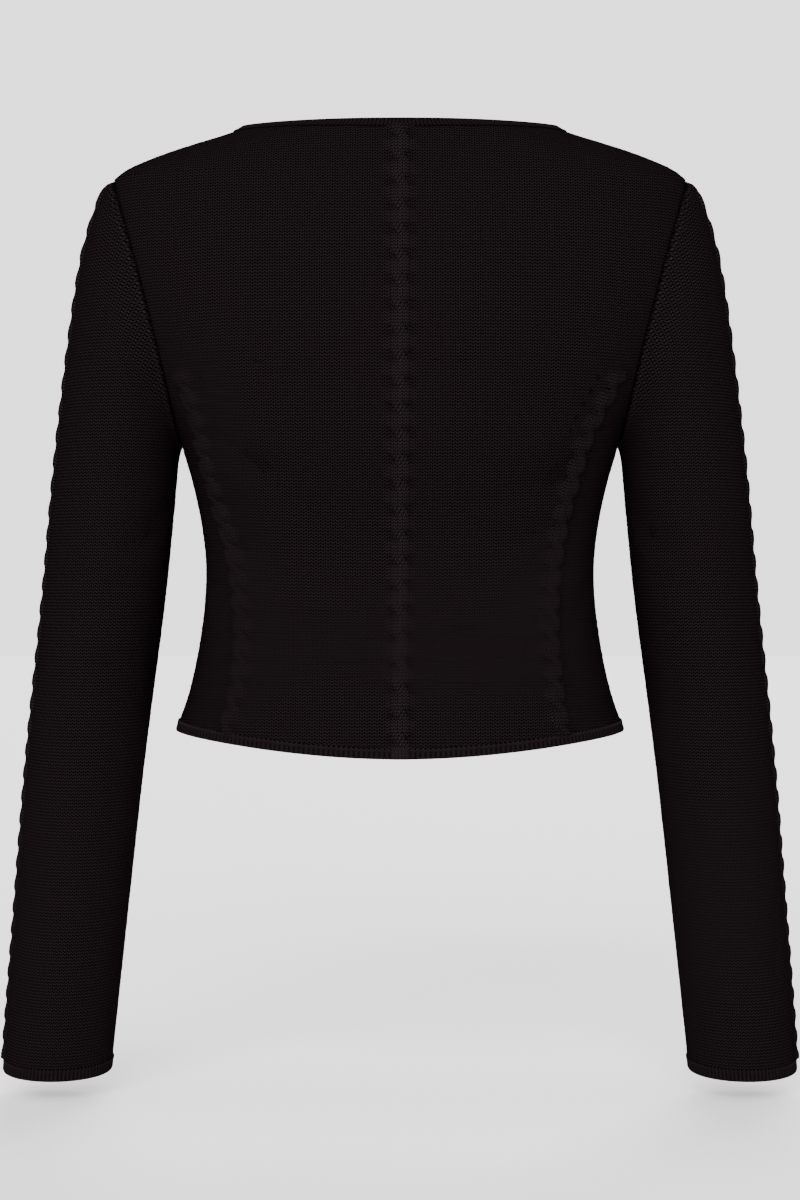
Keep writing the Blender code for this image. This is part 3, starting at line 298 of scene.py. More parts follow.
def back_neck_z(share, distance):
    """Height of a line that runs below the back neck's top edge at a distance."""
    probe = 0.0010
    top = -NECK_BACK_DROP * (1.0 - np.abs(share) ** NECK_BACK_POWER)
    pace = np.linalg.norm(body_at(BACK, share, top - probe) - body_at(BACK, share, top), axis=-1)
    return top - distance * probe / pace


NECK_POINT_DROP = float(-back_neck_z(np.array([1.0]), NECK_HEIGHT)[0])


def front_neck(part, edge):
    """Shares and heights of the front neckline, from 0 at the shoulder to 1 at the band."""
    drop = NECK_DROP_TOP + (NECK_DROP_SEAM - NECK_DROP_TOP) * edge
    widest = float(curve(SHOULDER, 1, np.array([-NECK_POINT_DROP * edge]))[0])
    closing = FRONT_EDGE_X / widest
    turn = part * math.acos(closing ** (NECK_SQUARENESS / 2.0))
    x = widest * np.cos(turn) ** (2.0 / NECK_SQUARENESS)
    z = -drop * np.sin(turn) ** (2.0 / NECK_SQUARENESS)
    z = z - NECK_POINT_DROP * edge * np.cos(turn) ** 2
    return share_at(FRONT, x, z), z


def sleeve_at(angle, z):
    """Points of the left sleeve's form; angle 0 is outermost, a quarter turn the back."""
    fan = np.clip((z - SHOULDER_TIP_Z) / (CAP_END_Z - SHOULDER_TIP_Z), 0.0, 1.0)
    inner_z = np.where(z > CAP_END_Z, UNDERARM_Z - CAP_INNER_DROP * fan, z)
    outer_x, inner_x = curve(SLEEVE_OUTER, 1, z), curve(SLEEVE_INNER, 1, inner_z)
    depth = curve(SLEEVE_FORM, 1, z) * np.sin(angle)
    scoop = np.where(np.sin(angle) >= 0.0, ARMHOLE_SCOOP[BACK], ARMHOLE_SCOOP[FRONT])
    scoop = scoop * (1.0 - smooth((SHOULDER_TIP_Z - z) / SCOOP_FADE))
    x = (outer_x + inner_x) / 2 + (outer_x - inner_x) / 2 * np.cos(angle)
    x = x - scoop * np.sin(angle) ** 2
    y = depth - curve(SLEEVE_FORM, 2, z)
    height = (z + inner_z) / 2 + (z - inner_z) / 2 * np.cos(angle)
    return np.stack((x, y, height - depth * curve(SLEEVE_FORM, 3, z)), axis=-1)


def cap_share(angle):
    """How much of the cap's height is left at an angle, as in a flat sleeve pattern."""
    least = CAP_INNER_DROP / (SHOULDER_TIP_Z - CAP_END_Z)
    return least + (1.0 - least) * 0.5 * (1.0 + np.cos(angle))


# ---------------------------------------------------------------- relief, with its painted light and shade

# painted light and shade of a strand: its lightness at its edge and how fast its painted
# highlight rises from there, the painted shade between its columns, and the lower strand's
# lightness where it dips, painted darker as if in the upper strand's shade
EDGE_LIGHT, EDGE_POWER, COLUMN_DARK, UNDER_LIGHT = 0.60, 0.6, 0.35, 0.4
# across a cable, over its half width: the dip's middle and width, and where the painted
# shade beside the cable gives way to the plain knit
DIP_MIDDLE, DIP_WIDTH, PLAIN_START, PLAIN_RAMP = 1.12, 0.16, 1.05, 0.40
STRAND_TIGHTNESS = 0.7      # how soon a strand sinks before its crossing


def strand_place(turn, cable):
    """Where the strand that crosses over lies, a share of a pitch from the crossing."""
    return -cable.spread * np.sin(0.5 * np.pi * np.clip(turn / cable.crossing, -1.0, 1.0))


def strand_profiles(across, turn, cable):
    """Heights of the over strand and the under strand, as shares of the rise."""
    place = strand_place(turn, cable)
    near = np.clip(STRAND_TIGHTNESS * turn / cable.crossing, -1.0, 1.0)
    tight = np.cos(0.5 * np.pi * near) ** 2
    over = np.sqrt(np.maximum(0.0, 1.0 - ((across - place) / cable.strand) ** 2))
    under = np.sqrt(np.maximum(0.0, 1.0 - ((across + place) / cable.strand) ** 2))
    return over, under, 1.0 - cable.over_dip * tight, 1.0 - cable.under_dip * tight


def rope(across, phase, cable):
    """Height, and painted light and shade, of a two-strand cable: across runs from -1 to 1
    towards the wearer's left, phase counts its crossings down from the top."""
    turn = phase - np.round(phase)
    over, under, over_top, under_top = strand_profiles(across, turn, cable)
    on_over = over * over_top >= under * under_top
    round_share = np.where(on_over, over, under)
    top = np.where(on_over, over_top, under_top)
    place = np.where(on_over, 1.0, -1.0) * strand_place(turn, cable)
    between = 0.5 - 0.5 * np.cos(4.0 * np.pi * (across - place) / cable.strand)
    beside = np.exp(-((np.abs(across) - DIP_MIDDLE) / DIP_WIDTH) ** 2)
    height = cable.rise * round_share * top - cable.gutter * beside - cable.column * between
    # painted highlight on each strand's top, painted shade at its edges, between its columns and
    # on the lower strand where it dips
    bright = cable.tone * (EDGE_LIGHT + (1.0 - EDGE_LIGHT) * round_share ** EDGE_POWER)
    bright = bright * (1.0 - COLUMN_DARK * between)
    bright = bright * np.where(on_over, 1.0, UNDER_LIGHT + (1.0 - UNDER_LIGHT) * top)
    # painted shade in the dip beside a cable, fading out into the plain knit
    plain = smooth((np.abs(across) - PLAIN_START) / PLAIN_RAMP)
    hollow = cable.hollow_painted_shade + (1.0 - cable.hollow_painted_shade) * plain
    return height, np.where(round_share > 0.0, bright, hollow)


# Soft creases: a start and an end across and down the piece, width and depth. The body's
# are measured round the section from the centre, the sleeve's round from its outer line.
BACK_CREASES = (
    (0.128, -0.214, 0.060, -0.262, 0.0100, 0.0016),
    (0.122, -0.262, 0.066, -0.296, 0.0090, 0.0014),
    (-0.130, -0.208, -0.066, -0.254, 0.0100, 0.0018),
    (-0.120, -0.268, -0.050, -0.300, 0.0090, 0.0012),
    (0.020, -0.322, 0.092, -0.308, 0.0080, 0.0012),
    (-0.018, -0.334, -0.090, -0.318, 0.0080, 0.0013),
    (0.148, -0.300, 0.112, -0.330, 0.0080, 0.0012),
    (-0.146, -0.306, -0.112, -0.336, 0.0080, 0.0012),
)
FRONT_CREASES = (
    (0.165, -0.222, 0.080, -0.270, 0.0110, 0.0020),
    (0.150, -0.268, 0.060, -0.302, 0.0100, 0.0015),
    (0.040, -0.180, 0.110, -0.150, 0.0140, 0.0012),
    (0.030, -0.330, 0.120, -0.312, 0.0090, 0.0012),
)
SLEEVE_CREASES = (
    (-0.120, -0.246, -0.050, -0.276, 0.0090, 0.0016),
    (0.124, -0.250, 0.058, -0.292, 0.0100, 0.0018),
    (0.110, -0.300, 0.052, -0.334, 0.0090, 0.0014),
    (-0.112, -0.318, -0.046, -0.344, 0.0090, 0.0015),
    (0.106, -0.372, 0.044, -0.356, 0.0080, 0.0014),
    (-0.100, -0.380, -0.040, -0.366, 0.0080, 0.0014),
    (0.092, -0.452, 0.040, -0.470, 0.0080, 0.0010),
    (-0.090, -0.540, -0.036, -0.556, 0.0080, 0.0010),
)


# a crease's bow over its length, where it is deepest and how fast it fades along it, and how
# high and how far off, in widths, its ridge lies
CREASE_BOW, CREASE_MIDDLE, CREASE_FADE = 0.10, 0.42, 0.34
RIDGE_RISE, RIDGE_PLACE = 0.55, 1.9


def creases(table, a, b):
    """Uneven soft troughs, each with a low ridge beside it."""
    total = np.zeros_like(a)
    for number, (a0, b0, a1, b1, width, depth) in enumerate(table):
        along = np.array((a1 - a0, b1 - b0))
        length = np.hypot(*along)
        along /= length
        t = ((a - a0) * along[0] + (b - b0) * along[1]) / length
        bow = CREASE_BOW * length * np.sin(np.pi * np.clip(t, 0, 1)) * (1 if number % 2 else -1)
        off = (b - b0) * along[0] - (a - a0) * along[1] - bow
        taper = np.exp(-((t - CREASE_MIDDLE) / CREASE_FADE) ** 2)
        spread = width * (0.75 + 0.5 * np.clip(t, 0, 1))
        total -= depth * taper * np.exp(-(off / spread) ** 2)
        ridge = np.exp(-(off / spread - RIDGE_PLACE) ** 2)
        total += RIDGE_RISE * depth * taper * ridge
    return total


# ---------------------------------------------------------------- making shells

# painted shade: the inside of every shell is painted evenly darker than its outside
INSIDE_PAINTED_SHADE = 0.8
RIB_SPOT = (0.75, 0.55)     # where in a stitch its shade is the knit's mean
SHARP_EDGE = math.radians(60.0)
BACKWARD = (0, 3, 2, 1)     # a face's corners the other way round


def grid_normals(points):
    """Unit normals of a grid of points, by its rows and columns."""
    normal = np.cross(np.gradient(points, axis=1), np.gradient(points, axis=0))
    return normal / np.maximum(np.linalg.norm(normal, axis=-1, keepdims=True), 1e-12)


def kept(count, every):
    """Indices of a coarser run of rows, with both ends."""
    picked = list(range(0, count - 1, every))
    return picked + [count - 1]


def numbered(first, rows, count, wrap):
    """Point numbers in rows, closed round where the grid wraps."""
    number = first + np.arange(count).reshape(rows, -1)
    return np.concatenate((number, number[:, :1]), axis=1) if wrap else number


def corner_values(grid):
    """The value at the four corners of each face of a grid."""
    return np.stack((grid[:-1, :-1], grid[:-1, 1:], grid[1:, 1:], grid[1:, :-1]), axis=-1)


def link(name, data):
    """A new object in the scene."""
    made = bpy.data.objects.new(name, data)
    bpy.context.collection.objects.link(made)
    return made


def shell(name, outer, inner, stitch, tone=None, coarse=(6, 3), wrap=False):
    """A closed thin sheet. outer and inner are grids of points; stitch holds the four
    corners' stitch coordinates of each outer face, tone the painted light and shade
    of each outer point. The inside is coarser."""
    rows, columns = outer.shape[:2]
    row_ids, column_ids = kept(rows, coarse[0]), kept(columns, coarse[1])
    last = -1 if wrap else None
    out_points = outer[:, :last].reshape(-1, 3)
    in_points = inner[np.ix_(row_ids, column_ids)][:, :last].reshape(-1, 3)
    fronts = numbered(0, rows, len(out_points), wrap)
    backs = numbered(len(out_points), len(row_ids), len(in_points), wrap)
    polygons = corner_values(fronts).reshape(-1, 4).tolist()
    polygons += corner_values(backs)[..., BACKWARD].reshape(-1, 4).tolist()
    back_stitch = stitch[:, :, 0][np.ix_([min(i, rows - 2) for i in row_ids],
                                         [min(i, columns - 2) for i in column_ids])]
    back_stitch = np.swapaxes(corner_values(back_stitch)[..., BACKWARD], -1, -2)
    edges = [(fronts[0], column_ids, backs[0]), (fronts[-1], column_ids, backs[-1])]
    if not wrap:
        edges += [(fronts[:, 0], row_ids, backs[:, 0]), (fronts[:, -1], row_ids, backs[:, -1])]
    border = 0
    for edge, ids, back_edge in edges:
        for k in range(len(ids) - 1):
            polygons.append([*edge[ids[k]:ids[k + 1] + 1].tolist(),
                             int(back_edge[k + 1]), int(back_edge[k])])
            border += len(polygons[-1])
    mesh = bpy.data.meshes.new(name)
    mesh.from_pydata(np.concatenate((out_points, in_points)).tolist(), [], polygons)
    uvs = np.concatenate((stitch.reshape(-1, 2), back_stitch.reshape(-1, 2),
                          np.zeros((border, 2))))
    mesh.uv_layers.new(name="stitch").data.foreach_set("uv", uvs.astype(np.float32).ravel())
    painted_point_shading = np.full(len(mesh.vertices), INSIDE_PAINTED_SHADE, np.float32)
    painted_point_shading[:len(out_points)] = 1.0 if tone is None else tone[:, :last].ravel()
    mesh.attributes.new("tone", "FLOAT", "POINT").data.foreach_set("value", painted_point_shading)
    made = link(name, mesh)
    turn_outwards(made)
    mesh.shade_smooth()
    mesh.set_sharp_from_angle(angle=SHARP_EDGE)
    return made


def select_only(made):
    """Make one object the selected and active one."""
    bpy.ops.object.select_all(action="DESELECT")
    made.select_set(True)
    bpy.context.view_layer.objects.active = made


def turn_outwards(made):
    """Make a closed mesh's faces agree and point out."""
    select_only(made)
    bpy.ops.object.mode_set(mode="EDIT")
    bpy.ops.mesh.select_all(action="SELECT")
    bpy.ops.mesh.normals_make_consistent(inside=False)
    bpy.ops.object.mode_set(mode="OBJECT")
    made.select_set(False)


def climb(points, normal):
    """Heights measured up the cloth itself, from its lowest row."""
    level = np.cross(normal, (0.0, 0.0, 1.0))
    up = np.cross(level / np.linalg.norm(level, axis=-1, keepdims=True), normal)
    steps = (np.diff(points, axis=0) * 0.5 * (up[1:] + up[:-1])).sum(-1)
    return np.concatenate((points[:1, :, 2], points[:1, :, 2] + np.cumsum(steps, axis=0)))


def plain_stitch(around, down, knit):
    """Stitch coordinates of plain jersey."""
    return np.stack((corner_values(around) / knit.wale, corner_values(down) / knit.course), -1)


def rope_stitch(stitch, across, phase, pitch, knit, cable):
    """Put a cable's own stitches, which follow its strands, over the plain ones."""
    wide, turn = corner_values(across), corner_values(phase)
    middle, at = wide.mean(-1, keepdims=True), turn.mean(-1, keepdims=True)
    crossing = np.round(at)
    over, under, over_top, under_top = strand_profiles(middle, at - crossing, cable)
    side = np.where(over * over_top >= under * under_top, 1.0, -1.0)
    u = (wide - side * strand_place(turn - crossing, cable)) * cable.half_width / cable.wale
    v = -turn * pitch / knit.course
    inside = (np.maximum(over, under) > 0.0)[..., 0]
    stitch[inside] = np.stack((u + 0.5, v), -1)[inside]
    return stitch


def finish_sheet(settings, made, node):
    """Fasten a shell to the frame, as the sheet that it was cut from."""
    made.data.materials.append(knit_material(settings.knit))
    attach(made, "root")
    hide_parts(node)


# ---------------------------------------------------------------- materials

LEG_DROP = 0.72             # how far a stitch's legs drop from its middle, in courses
# how sharply a course and a leg are rounded, and how high a leg's ends stay
COURSE_POWER, LEG_POWER, LEG_END = 1.5, 0.8, 0.25
# the painted shade at a stitch's foot and the rise of its painted light towards the stitch's
# top, and the yarn's own unevenness
PAINTED_SHADE_FOOT, PAINTED_SHADE_RISE = 0.02, 2.90
MOTTLE_LEAST, MOTTLE_SPAN, MOTTLE_SCALE, MOTTLE_DETAIL = 0.75, 0.5, 0.9, 3.0


def add_node(tree, kind, inputs=None, **options):
    """A shader node; each input that is given is linked to a socket or set to a value."""
    made = tree.nodes.new("ShaderNode" + kind)
    for name, value in options.items():
        setattr(made, name, value)
    for key, value in (inputs or {}).items():
        if isinstance(value, bpy.types.NodeSocket):
            tree.links.new(value, made.inputs[key])
        else:
            made.inputs[key].default_value = value
    return made


def knit_group():
    """Height of knitted stitches and their painted shade, from stitch coordinates. Built once."""
    group = bpy.data.node_groups.get("knit_stitches")
    if group:
        return group
    group = bpy.data.node_groups.new("knit_stitches", "ShaderNodeTree")
    group.interface.new_socket("Stitch", in_out="INPUT", socket_type="NodeSocketVector")
    for name in ("Height", "Shade"):
        group.interface.new_socket(name, in_out="OUTPUT", socket_type="NodeSocketFloat")
    spot = group.nodes.new("NodeGroupInput").outputs[0]
    leave = group.nodes.new("NodeGroupOutput")
    split = add_node(group, "SeparateXYZ", {0: spot})

    def math_node(operation, *values):
        return add_node(group, "Math", dict(enumerate(values)), operation=operation).outputs[0]

    wale = math_node("FRACT", split.outputs["X"])
    leg = math_node("MULTIPLY", math_node("ABSOLUTE", math_node("SUBTRACT", wale, 0.5)), 2.0)
    course = math_node("SUBTRACT", split.outputs["Y"], math_node("MULTIPLY", leg, LEG_DROP))
    along = math_node("SINE", math_node("MULTIPLY", math_node("FRACT", course), math.pi))
    over = math_node("SINE", math_node("MULTIPLY", leg, math.pi))
    soft_over = math_node("MULTIPLY_ADD", math_node("POWER", over, LEG_POWER), 1.0 - LEG_END,
                          LEG_END)
    height = math_node("MULTIPLY", math_node("POWER", along, COURSE_POWER), soft_over)
    noise = add_node(group, "TexNoise",
                     {"Vector": spot, "Scale": MOTTLE_SCALE, "Detail": MOTTLE_DETAIL})
    mottle = math_node("MULTIPLY_ADD", noise.outputs["Fac"], MOTTLE_SPAN, MOTTLE_LEAST)
    shade = math_node("MULTIPLY_ADD", height, PAINTED_SHADE_RISE, PAINTED_SHADE_FOOT)
    group.links.new(height, leave.inputs["Height"])
    group.links.new(math_node("MULTIPLY", shade, mottle), leave.inputs["Shade"])
    return group


def knit_material(knit):
    """The knit's material, with the stitches' painted shade and the pieces' painted light and
    shade in its colour, and the stitches' relief in its bump.
    """
    made = bpy.data.materials.get("knit_black_stitched")
    if made:
        return made
    made = plain_material("knit_black_stitched", knit.colour, knit.roughness, knit.specular)
    tree = made.node_tree
    shader = tree.nodes["Principled BSDF"]
    stitches = add_node(tree, "Group", node_tree=knit_group())
    tree.links.new(add_node(tree, "UVMap", uv_map="stitch").outputs[0], stitches.inputs["Stitch"])
    tone = add_node(tree, "Attribute", attribute_name="tone")
    # the stitches' painted shade, times the painted light and shade stored on the points, is
    # multiplied into the base colour
    light = add_node(tree, "Math", {0: stitches.outputs["Shade"], 1: tone.outputs["Fac"]},
                     operation="MULTIPLY")
    mix = add_node(tree, "Mix", {"Factor": 1.0, "A": (*knit.colour, 1.0), "B": light.outputs[0]},
                   data_type="RGBA", blend_type="MULTIPLY")
    tree.links.new(mix.outputs["Result"], shader.inputs["Base Color"])
    bump = add_node(tree, "Bump", {"Strength": 1.0, "Distance": knit.stitch_depth,
                                   "Height": stitches.outputs["Height"]})
    tree.links.new(bump.outputs["Normal"], shader.inputs["Normal"])
    return made


def plain_material(name, colour, roughness, specular=0.5):
    """A material of one colour."""
    made = bpy.data.materials.get(name) or bpy.data.materials.new(name)
    made.use_nodes = True
    shader = made.node_tree.nodes["Principled BSDF"]
    shader.inputs["Base Color"].default_value = (*colour, 1.0)
    shader.inputs["Roughness"].default_value = roughness
    shader.inputs["Specular IOR Level"].default_value = specular
    return made


# ---------------------------------------------------------------- settings

def metres(name, description, default):
    """A setting in metres."""
    return FloatProperty(name=name, description=description, default=default,
                         subtype="DISTANCE", unit="LENGTH")


def factor(name, description, default, least=0.0, most=1.0):
    """A setting without a unit, between two limits."""
    return FloatProperty(name=name, description=description, default=default,
                         subtype="FACTOR", min=least, max=most)


def colour_of(name, description, default):
    """A colour, in linear light."""
    return FloatVectorProperty(name=name, description=description, default=default,
                               subtype="COLOR", min=0.0, max=1.0)


def number_of(name, description, default):
    """A whole number of things."""
    return IntProperty(name=name, description=description, default=default, min=1)


class CardiganKnit(bpy.types.PropertyGroup):
    """The knit of every piece."""

    colour: colour_of("Colour", "Colour of the yarn", (0.0035, 0.0024, 0.0028))
    roughness: factor("Roughness", "How dull the yarn is", 0.85)
    specular: factor("Specular", "Strength of the yarn's gloss", 0.0)
    wale: metres("Wale", "Width of one stitch", 0.0032)
    course: metres("Course", "Height of one stitch", 0.00206)
    stitch_depth: metres("Stitch depth", "Relief of the stitches", 0.0004)
    wall: metres("Wall", "Thickness of the knit", 0.0014)


class CardiganCable(bpy.types.PropertyGroup):
    """The rope cables."""

    half_width: metres("Half width", "Half the width of a cable", 0.0064)
    rise: metres("Rise", "How far a cable stands out", 0.0026)
    spread: factor("Spread", "From a cable's middle to a strand's, over the half width", 0.36)
    strand: factor("Strand", "Half a strand's width, over the cable's half width", 0.66)
    crossing: factor("Crossing", "Half the length of a crossing, over the pitch", 0.30, 0.05, 0.5)
    over_dip: factor("Over dip", "How much the upper strand sinks as it crosses", 0.25)
    under_dip: factor("Under dip", "How much the lower strand sinks as it crosses", 0.60)
    wale: metres("Wale", "Width of a stitch in a cable", 0.0023)
    gutter: metres("Gutter", "Depth of the dip beside a cable", 0.0003)
    column: metres("Column", "Depth between a strand's columns of stitches", 0.00020)
    # painted highlight on a cable's strands, the princess cables' share of it, and the painted
    # shade in the dip beside a cable
    tone: factor("Tone", "How light a strand is against the plain knit", 1.80, most=3.0)
    princess_light_share: factor("Princess share", "Lightness of the princess cables, over the centre "
                           "one's", 0.60)
    hollow_painted_shade: factor("Hollow tone", "How light the dip beside a cable is", 0.92)


class CardiganBand(bpy.types.PropertyGroup):
    """The ribbed bands and their linking chains."""

    rib_rise: metres("Rib rise", "How far a rib stands out", 0.0006)
    # painted light on a rib's top, painted shade in the dip between two ribs, and a painted
    # highlight on each linking chain
    rib_painted_light: factor("Rib tone", "How light a rib is against the plain knit", 1.30, most=6.0)
    rib_painted_shade: factor("Rib dark", "How light the dip between two ribs is", 0.30, most=6.0)
    chain_painted_light: factor("Chain tone", "How light a linking chain is against the plain knit", 3.4,
                       most=6.0)
    chain_yarn: metres("Chain yarn", "Half the width of the chain's yarn", 0.00032)
    chain_rise: metres("Chain rise", "How far the linking chain stands out", 0.0009)
    chain_height: metres("Chain height", "Width of the linking chain", 0.0022)
    hem_ribs: number_of("Hem ribs", "Ribs round the hem", 252)
    neck_ribs: number_of("Neck ribs", "Ribs round the neck", 256)
    cuff_ribs: number_of("Cuff ribs", "Ribs round a cuff", 86)
    front_ribs: number_of("Front ribs", "Ribs of a front band", 7)


class CardiganButton(bpy.types.PropertyGroup):
    """The buttons and the thread that holds them."""

    colour: colour_of("Colour", "Colour of a button", (0.0080, 0.0074, 0.0078))
    thread_colour: colour_of("Thread colour", "Colour of the thread", (0.0080, 0.0074, 0.0076))
    radius: metres("Radius", "Radius of a button", 0.0057)
    thickness: metres("Thickness", "Thickness of a button", 0.0026)
    hole_radius: metres("Hole radius", "Radius of a button's holes", 0.0007)
    hole_offset: metres("Hole offset", "From a button's middle to its holes", 0.0013)


class CardiganMark(bpy.types.PropertyGroup):
    """The fashioning marks, where stitches were moved to shape the back."""

    # painted shade: the marks' yarn is painted darker than the knit, for the shade in their holes
    colour: colour_of("Colour", "Colour of a mark's yarn", (0.0022, 0.0019, 0.0020))
    radius: metres("Radius", "Radius of a mark's loop", 0.0010)
    count: number_of("Count", "Marks on each side", 5)
    top: metres("Top", "Height of the highest mark", -0.1740)
    pitch: metres("Pitch", "From one mark to the next", 0.0084)
    inset: metres("Inset", "From a princess cable in to its marks", 0.0138)


class CardiganStage(bpy.types.PropertyGroup):
    """The floor, the lights and the camera."""

    floor_height: metres("Floor height", "Height of the floor", -0.6480)
    floor_colour: colour_of("Floor colour", "Colour of the floor", (0.86, 0.86, 0.86))
    camera_distance: metres("Camera distance", "From the camera to the garment's middle", 1.9)
    camera_height: metres("Camera height", "Height of the camera", -0.317)
    view_width: metres("View width", "Width of the picture at the garment's middle", 0.5336)
    sky: FloatProperty(
        name="Sky", description="Strength of the even light from all round", default=1.18)
    backdrop: FloatProperty(
        name="Backdrop", description="Brightness of the plain backdrop", default=2.2)
    sun: FloatProperty(
        name="Sun", description="Strength of the stronger soft light", default=6.2)
    sun_angle: FloatProperty(
        name="Sun angle", description="How soft the lights are", subtype="ANGLE",
        unit="ROTATION", default=0.70)


# ---------------------------------------------------------------- pieces

# the back's grid: rows, and columns in half a cable, between cables and up to the side seam
BACK_ROWS, CABLE_COLUMNS, GAP_COLUMNS, EDGE_COLUMNS = 560, 13, 22, 10
CABLE_MARGIN, CABLE_FADE = 0.0020, 0.0060   # a cable's least space and fade at a seam
PRINCESS_START = 0.0020     # from a princess cable's top to where it starts to show
FAR = 9.0                   # a place across a cable that its stitches don't reach
CORE = np.array((0.0, 0.0, -0.25))
# a front's grid: columns, rows below the neckline and rows beside it
FRONT_COLUMNS, FRONT_ROWS, NECKLINE_ROWS = 56, 120, 70
CREASE_START, CREASE_RAMP = 0.012, 0.02     # where a front's creases fade in
# a sleeve's grid: rows, columns of each of its three strips, and half its cable's strip
SLEEVE_ROWS, SLEEVE_COLUMNS, SLEEVE_STRIP = 800, 34, 0.16
SLEEVE_PITCH_MEAN, SLEEVE_STITCH_Z = 0.0158, -0.30
# seams: a groove's width, depth and painted shade, and a ridge's place, width, height and
# painted highlight
ARMHOLE_GROOVE = (0.0012, 0.0003, 0.45)
SLEEVE_GROOVE = (0.0008, 0.0003, 0.60)
SLEEVE_RIDGE = (0.0022, 0.0012, 0.0004, 0.15)
# bands: columns of a rib, how flat its top is, how soon it starts above the chain, where its
# end starts and how far that drops, the rise beside the chain and the chain's swing
RIB_SAMPLES, RIB_POWER, RIB_START = 10, 0.7, 0.4
RIB_END, RIB_END_DROP, CHAIN_BESIDE, CHAIN_SWING = 0.92, 0.9, 0.0002, 0.75
CHAIN_ROWS, RIB_ROWS, FRONT_BAND_ROWS = 9, 6, 170
# the front bands: how far their long edges drop and over how many ribs, and a buttonhole's
# half width, half length and depth
BAND_EDGE_DROP, BAND_EDGE_WIDTH = 0.0006, 0.12
SLIT_WIDTH, SLIT_LENGTH, SLIT_DEPTH = 0.0007, 0.0066, 0.0008


def walls(points, out, height, knit):
    """The outer and the inner surface of a piece, from its relief."""
    return points + out * height[..., None], points - out * knit.wall


def back_half(side, half):
    """Distances from the centre, shares and heights of half the back's grid, which is finer
    along its cables."""
    counts = (CABLE_COLUMNS, GAP_COLUMNS, 2 * CABLE_COLUMNS, EDGE_COLUMNS)
    zone = np.append(np.repeat(np.arange(4), counts), 3)
    part = np.concatenate([np.arange(count) / count for count in counts] + [[1.0]])
    rise = np.linspace(0.0, 1.0, BACK_ROWS)[:, None]
    shares = np.linspace(0.0, 1.0, 201)
    neck = back_neck_z(shares, NECK_HEIGHT + SEAM_GAP)
    z = -0.4 + 0.4 * rise + 0.0 * part      # a first guess, which each turn betters
    for _ in range(6):
        whole = half_length(BACK, z)
        middle = np.interp(z, HEIGHTS, PRINCESS_AROUND[side])
        middle = np.minimum(middle, whole - half - CABLE_MARGIN)
        edges = np.stack((0 * z, 0 * z + half, middle - half, middle + half, whole))
        start = zone[None, None, :] + 0 * z[None].astype(int)
        around = (np.take_along_axis(edges, start, 0)[0] * (1 - part)
                  + np.take_along_axis(edges, start + 1, 0)[0] * part)
        share = np.minimum(around / whole, 1.0)
        low = hem_z(BACK, share) + HEM_HEIGHT + SEAM_GAP
        z = low + (np.interp(share, shares, neck) - low) * rise
    return around, share, z


def back_sheet(settings):
    """The back panel with its three cables."""
    knit, cable = settings.knit, settings.cable
    half = cable.half_width
    around, share, z = (
        np.concatenate((sign * right[:, :0:-1], left), axis=1)
        for sign, right, left in zip((-1, -1, 1), back_half(-1, half), back_half(1, half)))
    points = body_at(BACK, share, z)
    normal = facing(grid_normals(points), points - CORE)
    to_seam = half_length(BACK, z) - np.abs(around)
    fade = smooth(to_seam / CABLE_FADE)
    height = creases(BACK_CREASES, around, z)
    centre = around / half
    centre_phase = -z / CENTRE_PITCH
    relief, tone = rope(centre, centre_phase, cable)
    height = height + relief
    stitch = plain_stitch(around, climb(points, normal), knit)
    stitch = rope_stitch(stitch, centre, centre_phase, CENTRE_PITCH, knit, cable)
    for side in (1, -1):
        middle = np.interp(z, HEIGHTS, PRINCESS_AROUND[side])
        across = (around - side * middle) / half
        phase = (PRINCESS_TOP - z) / PRINCESS_PITCH
        relief, light = rope(across, phase, cable)
        shown = fade * smooth((PRINCESS_TOP - PRINCESS_START - z) / CABLE_FADE)
        height = height + relief * shown
        # the princess cables take only a share of the painted highlight on their strands
        light = np.where(light > 1.0, 1.0 + (light - 1.0) * cable.princess_light_share, light)
        tone = tone * (1.0 + (light - 1.0) * shown)
        local = np.where(z < PRINCESS_TOP, across, FAR)
        stitch = rope_stitch(stitch, local, phase, PRINCESS_PITCH, knit, cable)
    width, depth, dark = ARMHOLE_GROOVE
    groove = (z < SHOULDER_TIP_Z) * (z > UNDERARM_Z) * np.exp(-(to_seam / width) ** 2)
    outer, inner = walls(points, normal, height - depth * groove, knit)
    # painted shade in the armhole seam's groove
    return shell("back_knit", outer, inner, stitch, tone * (1.0 - dark * groove))


def front_sheet(settings, name, sign):
    """A front panel, from its band to the side seam."""
    knit = settings.knit
    neck_share, neck_z = front_neck(np.linspace(1.0, 0.0, NECKLINE_ROWS), PANEL_EDGE)
    level = np.linspace(0.0, 1.0, FRONT_COLUMNS)[:, None]
    low_rows = np.linspace(0.0, 1.0, FRONT_ROWS)[:, None]
    z = HEM_SIDE_Z + low_rows * (neck_z[0] - HEM_SIDE_Z) + 0.0 * level.T
    for _ in range(4):
        whole = half_length(FRONT, z)
        inside = share_at(FRONT, np.full(z.size, FRONT_EDGE_X), z.ravel())
        inside = inside.reshape(z.shape) * whole
        around = inside + level.T * (whole - inside)
        low = hem_z(FRONT, around / whole) + HEM_HEIGHT + SEAM_GAP
        z = low + (neck_z[0] - low) * low_rows
    top_z = neck_z[1:, None] + 0.0 * level.T
    top_whole = half_length(FRONT, top_z)
    top_inside = neck_share[1:, None] * top_whole
    around = np.concatenate((around, top_inside + level.T * (top_whole - top_inside)))
    z = np.concatenate((z, top_z))
    whole = half_length(FRONT, z)
    share = np.minimum(around / whole, 1.0)
    points = body_at(FRONT, sign * share, z)
    normal = body_normal(FRONT, sign * share, z)
    points = points - normal * lap(points)[..., None]
    height = creases(FRONT_CREASES, around, z)
    height *= smooth((whole - around) / CREASE_RAMP)
    height *= smooth((around - CREASE_START) / CREASE_RAMP)
    outer, inner = walls(points, normal, height, knit)
    return shell(name, outer, inner, plain_stitch(around, climb(points, normal), knit))


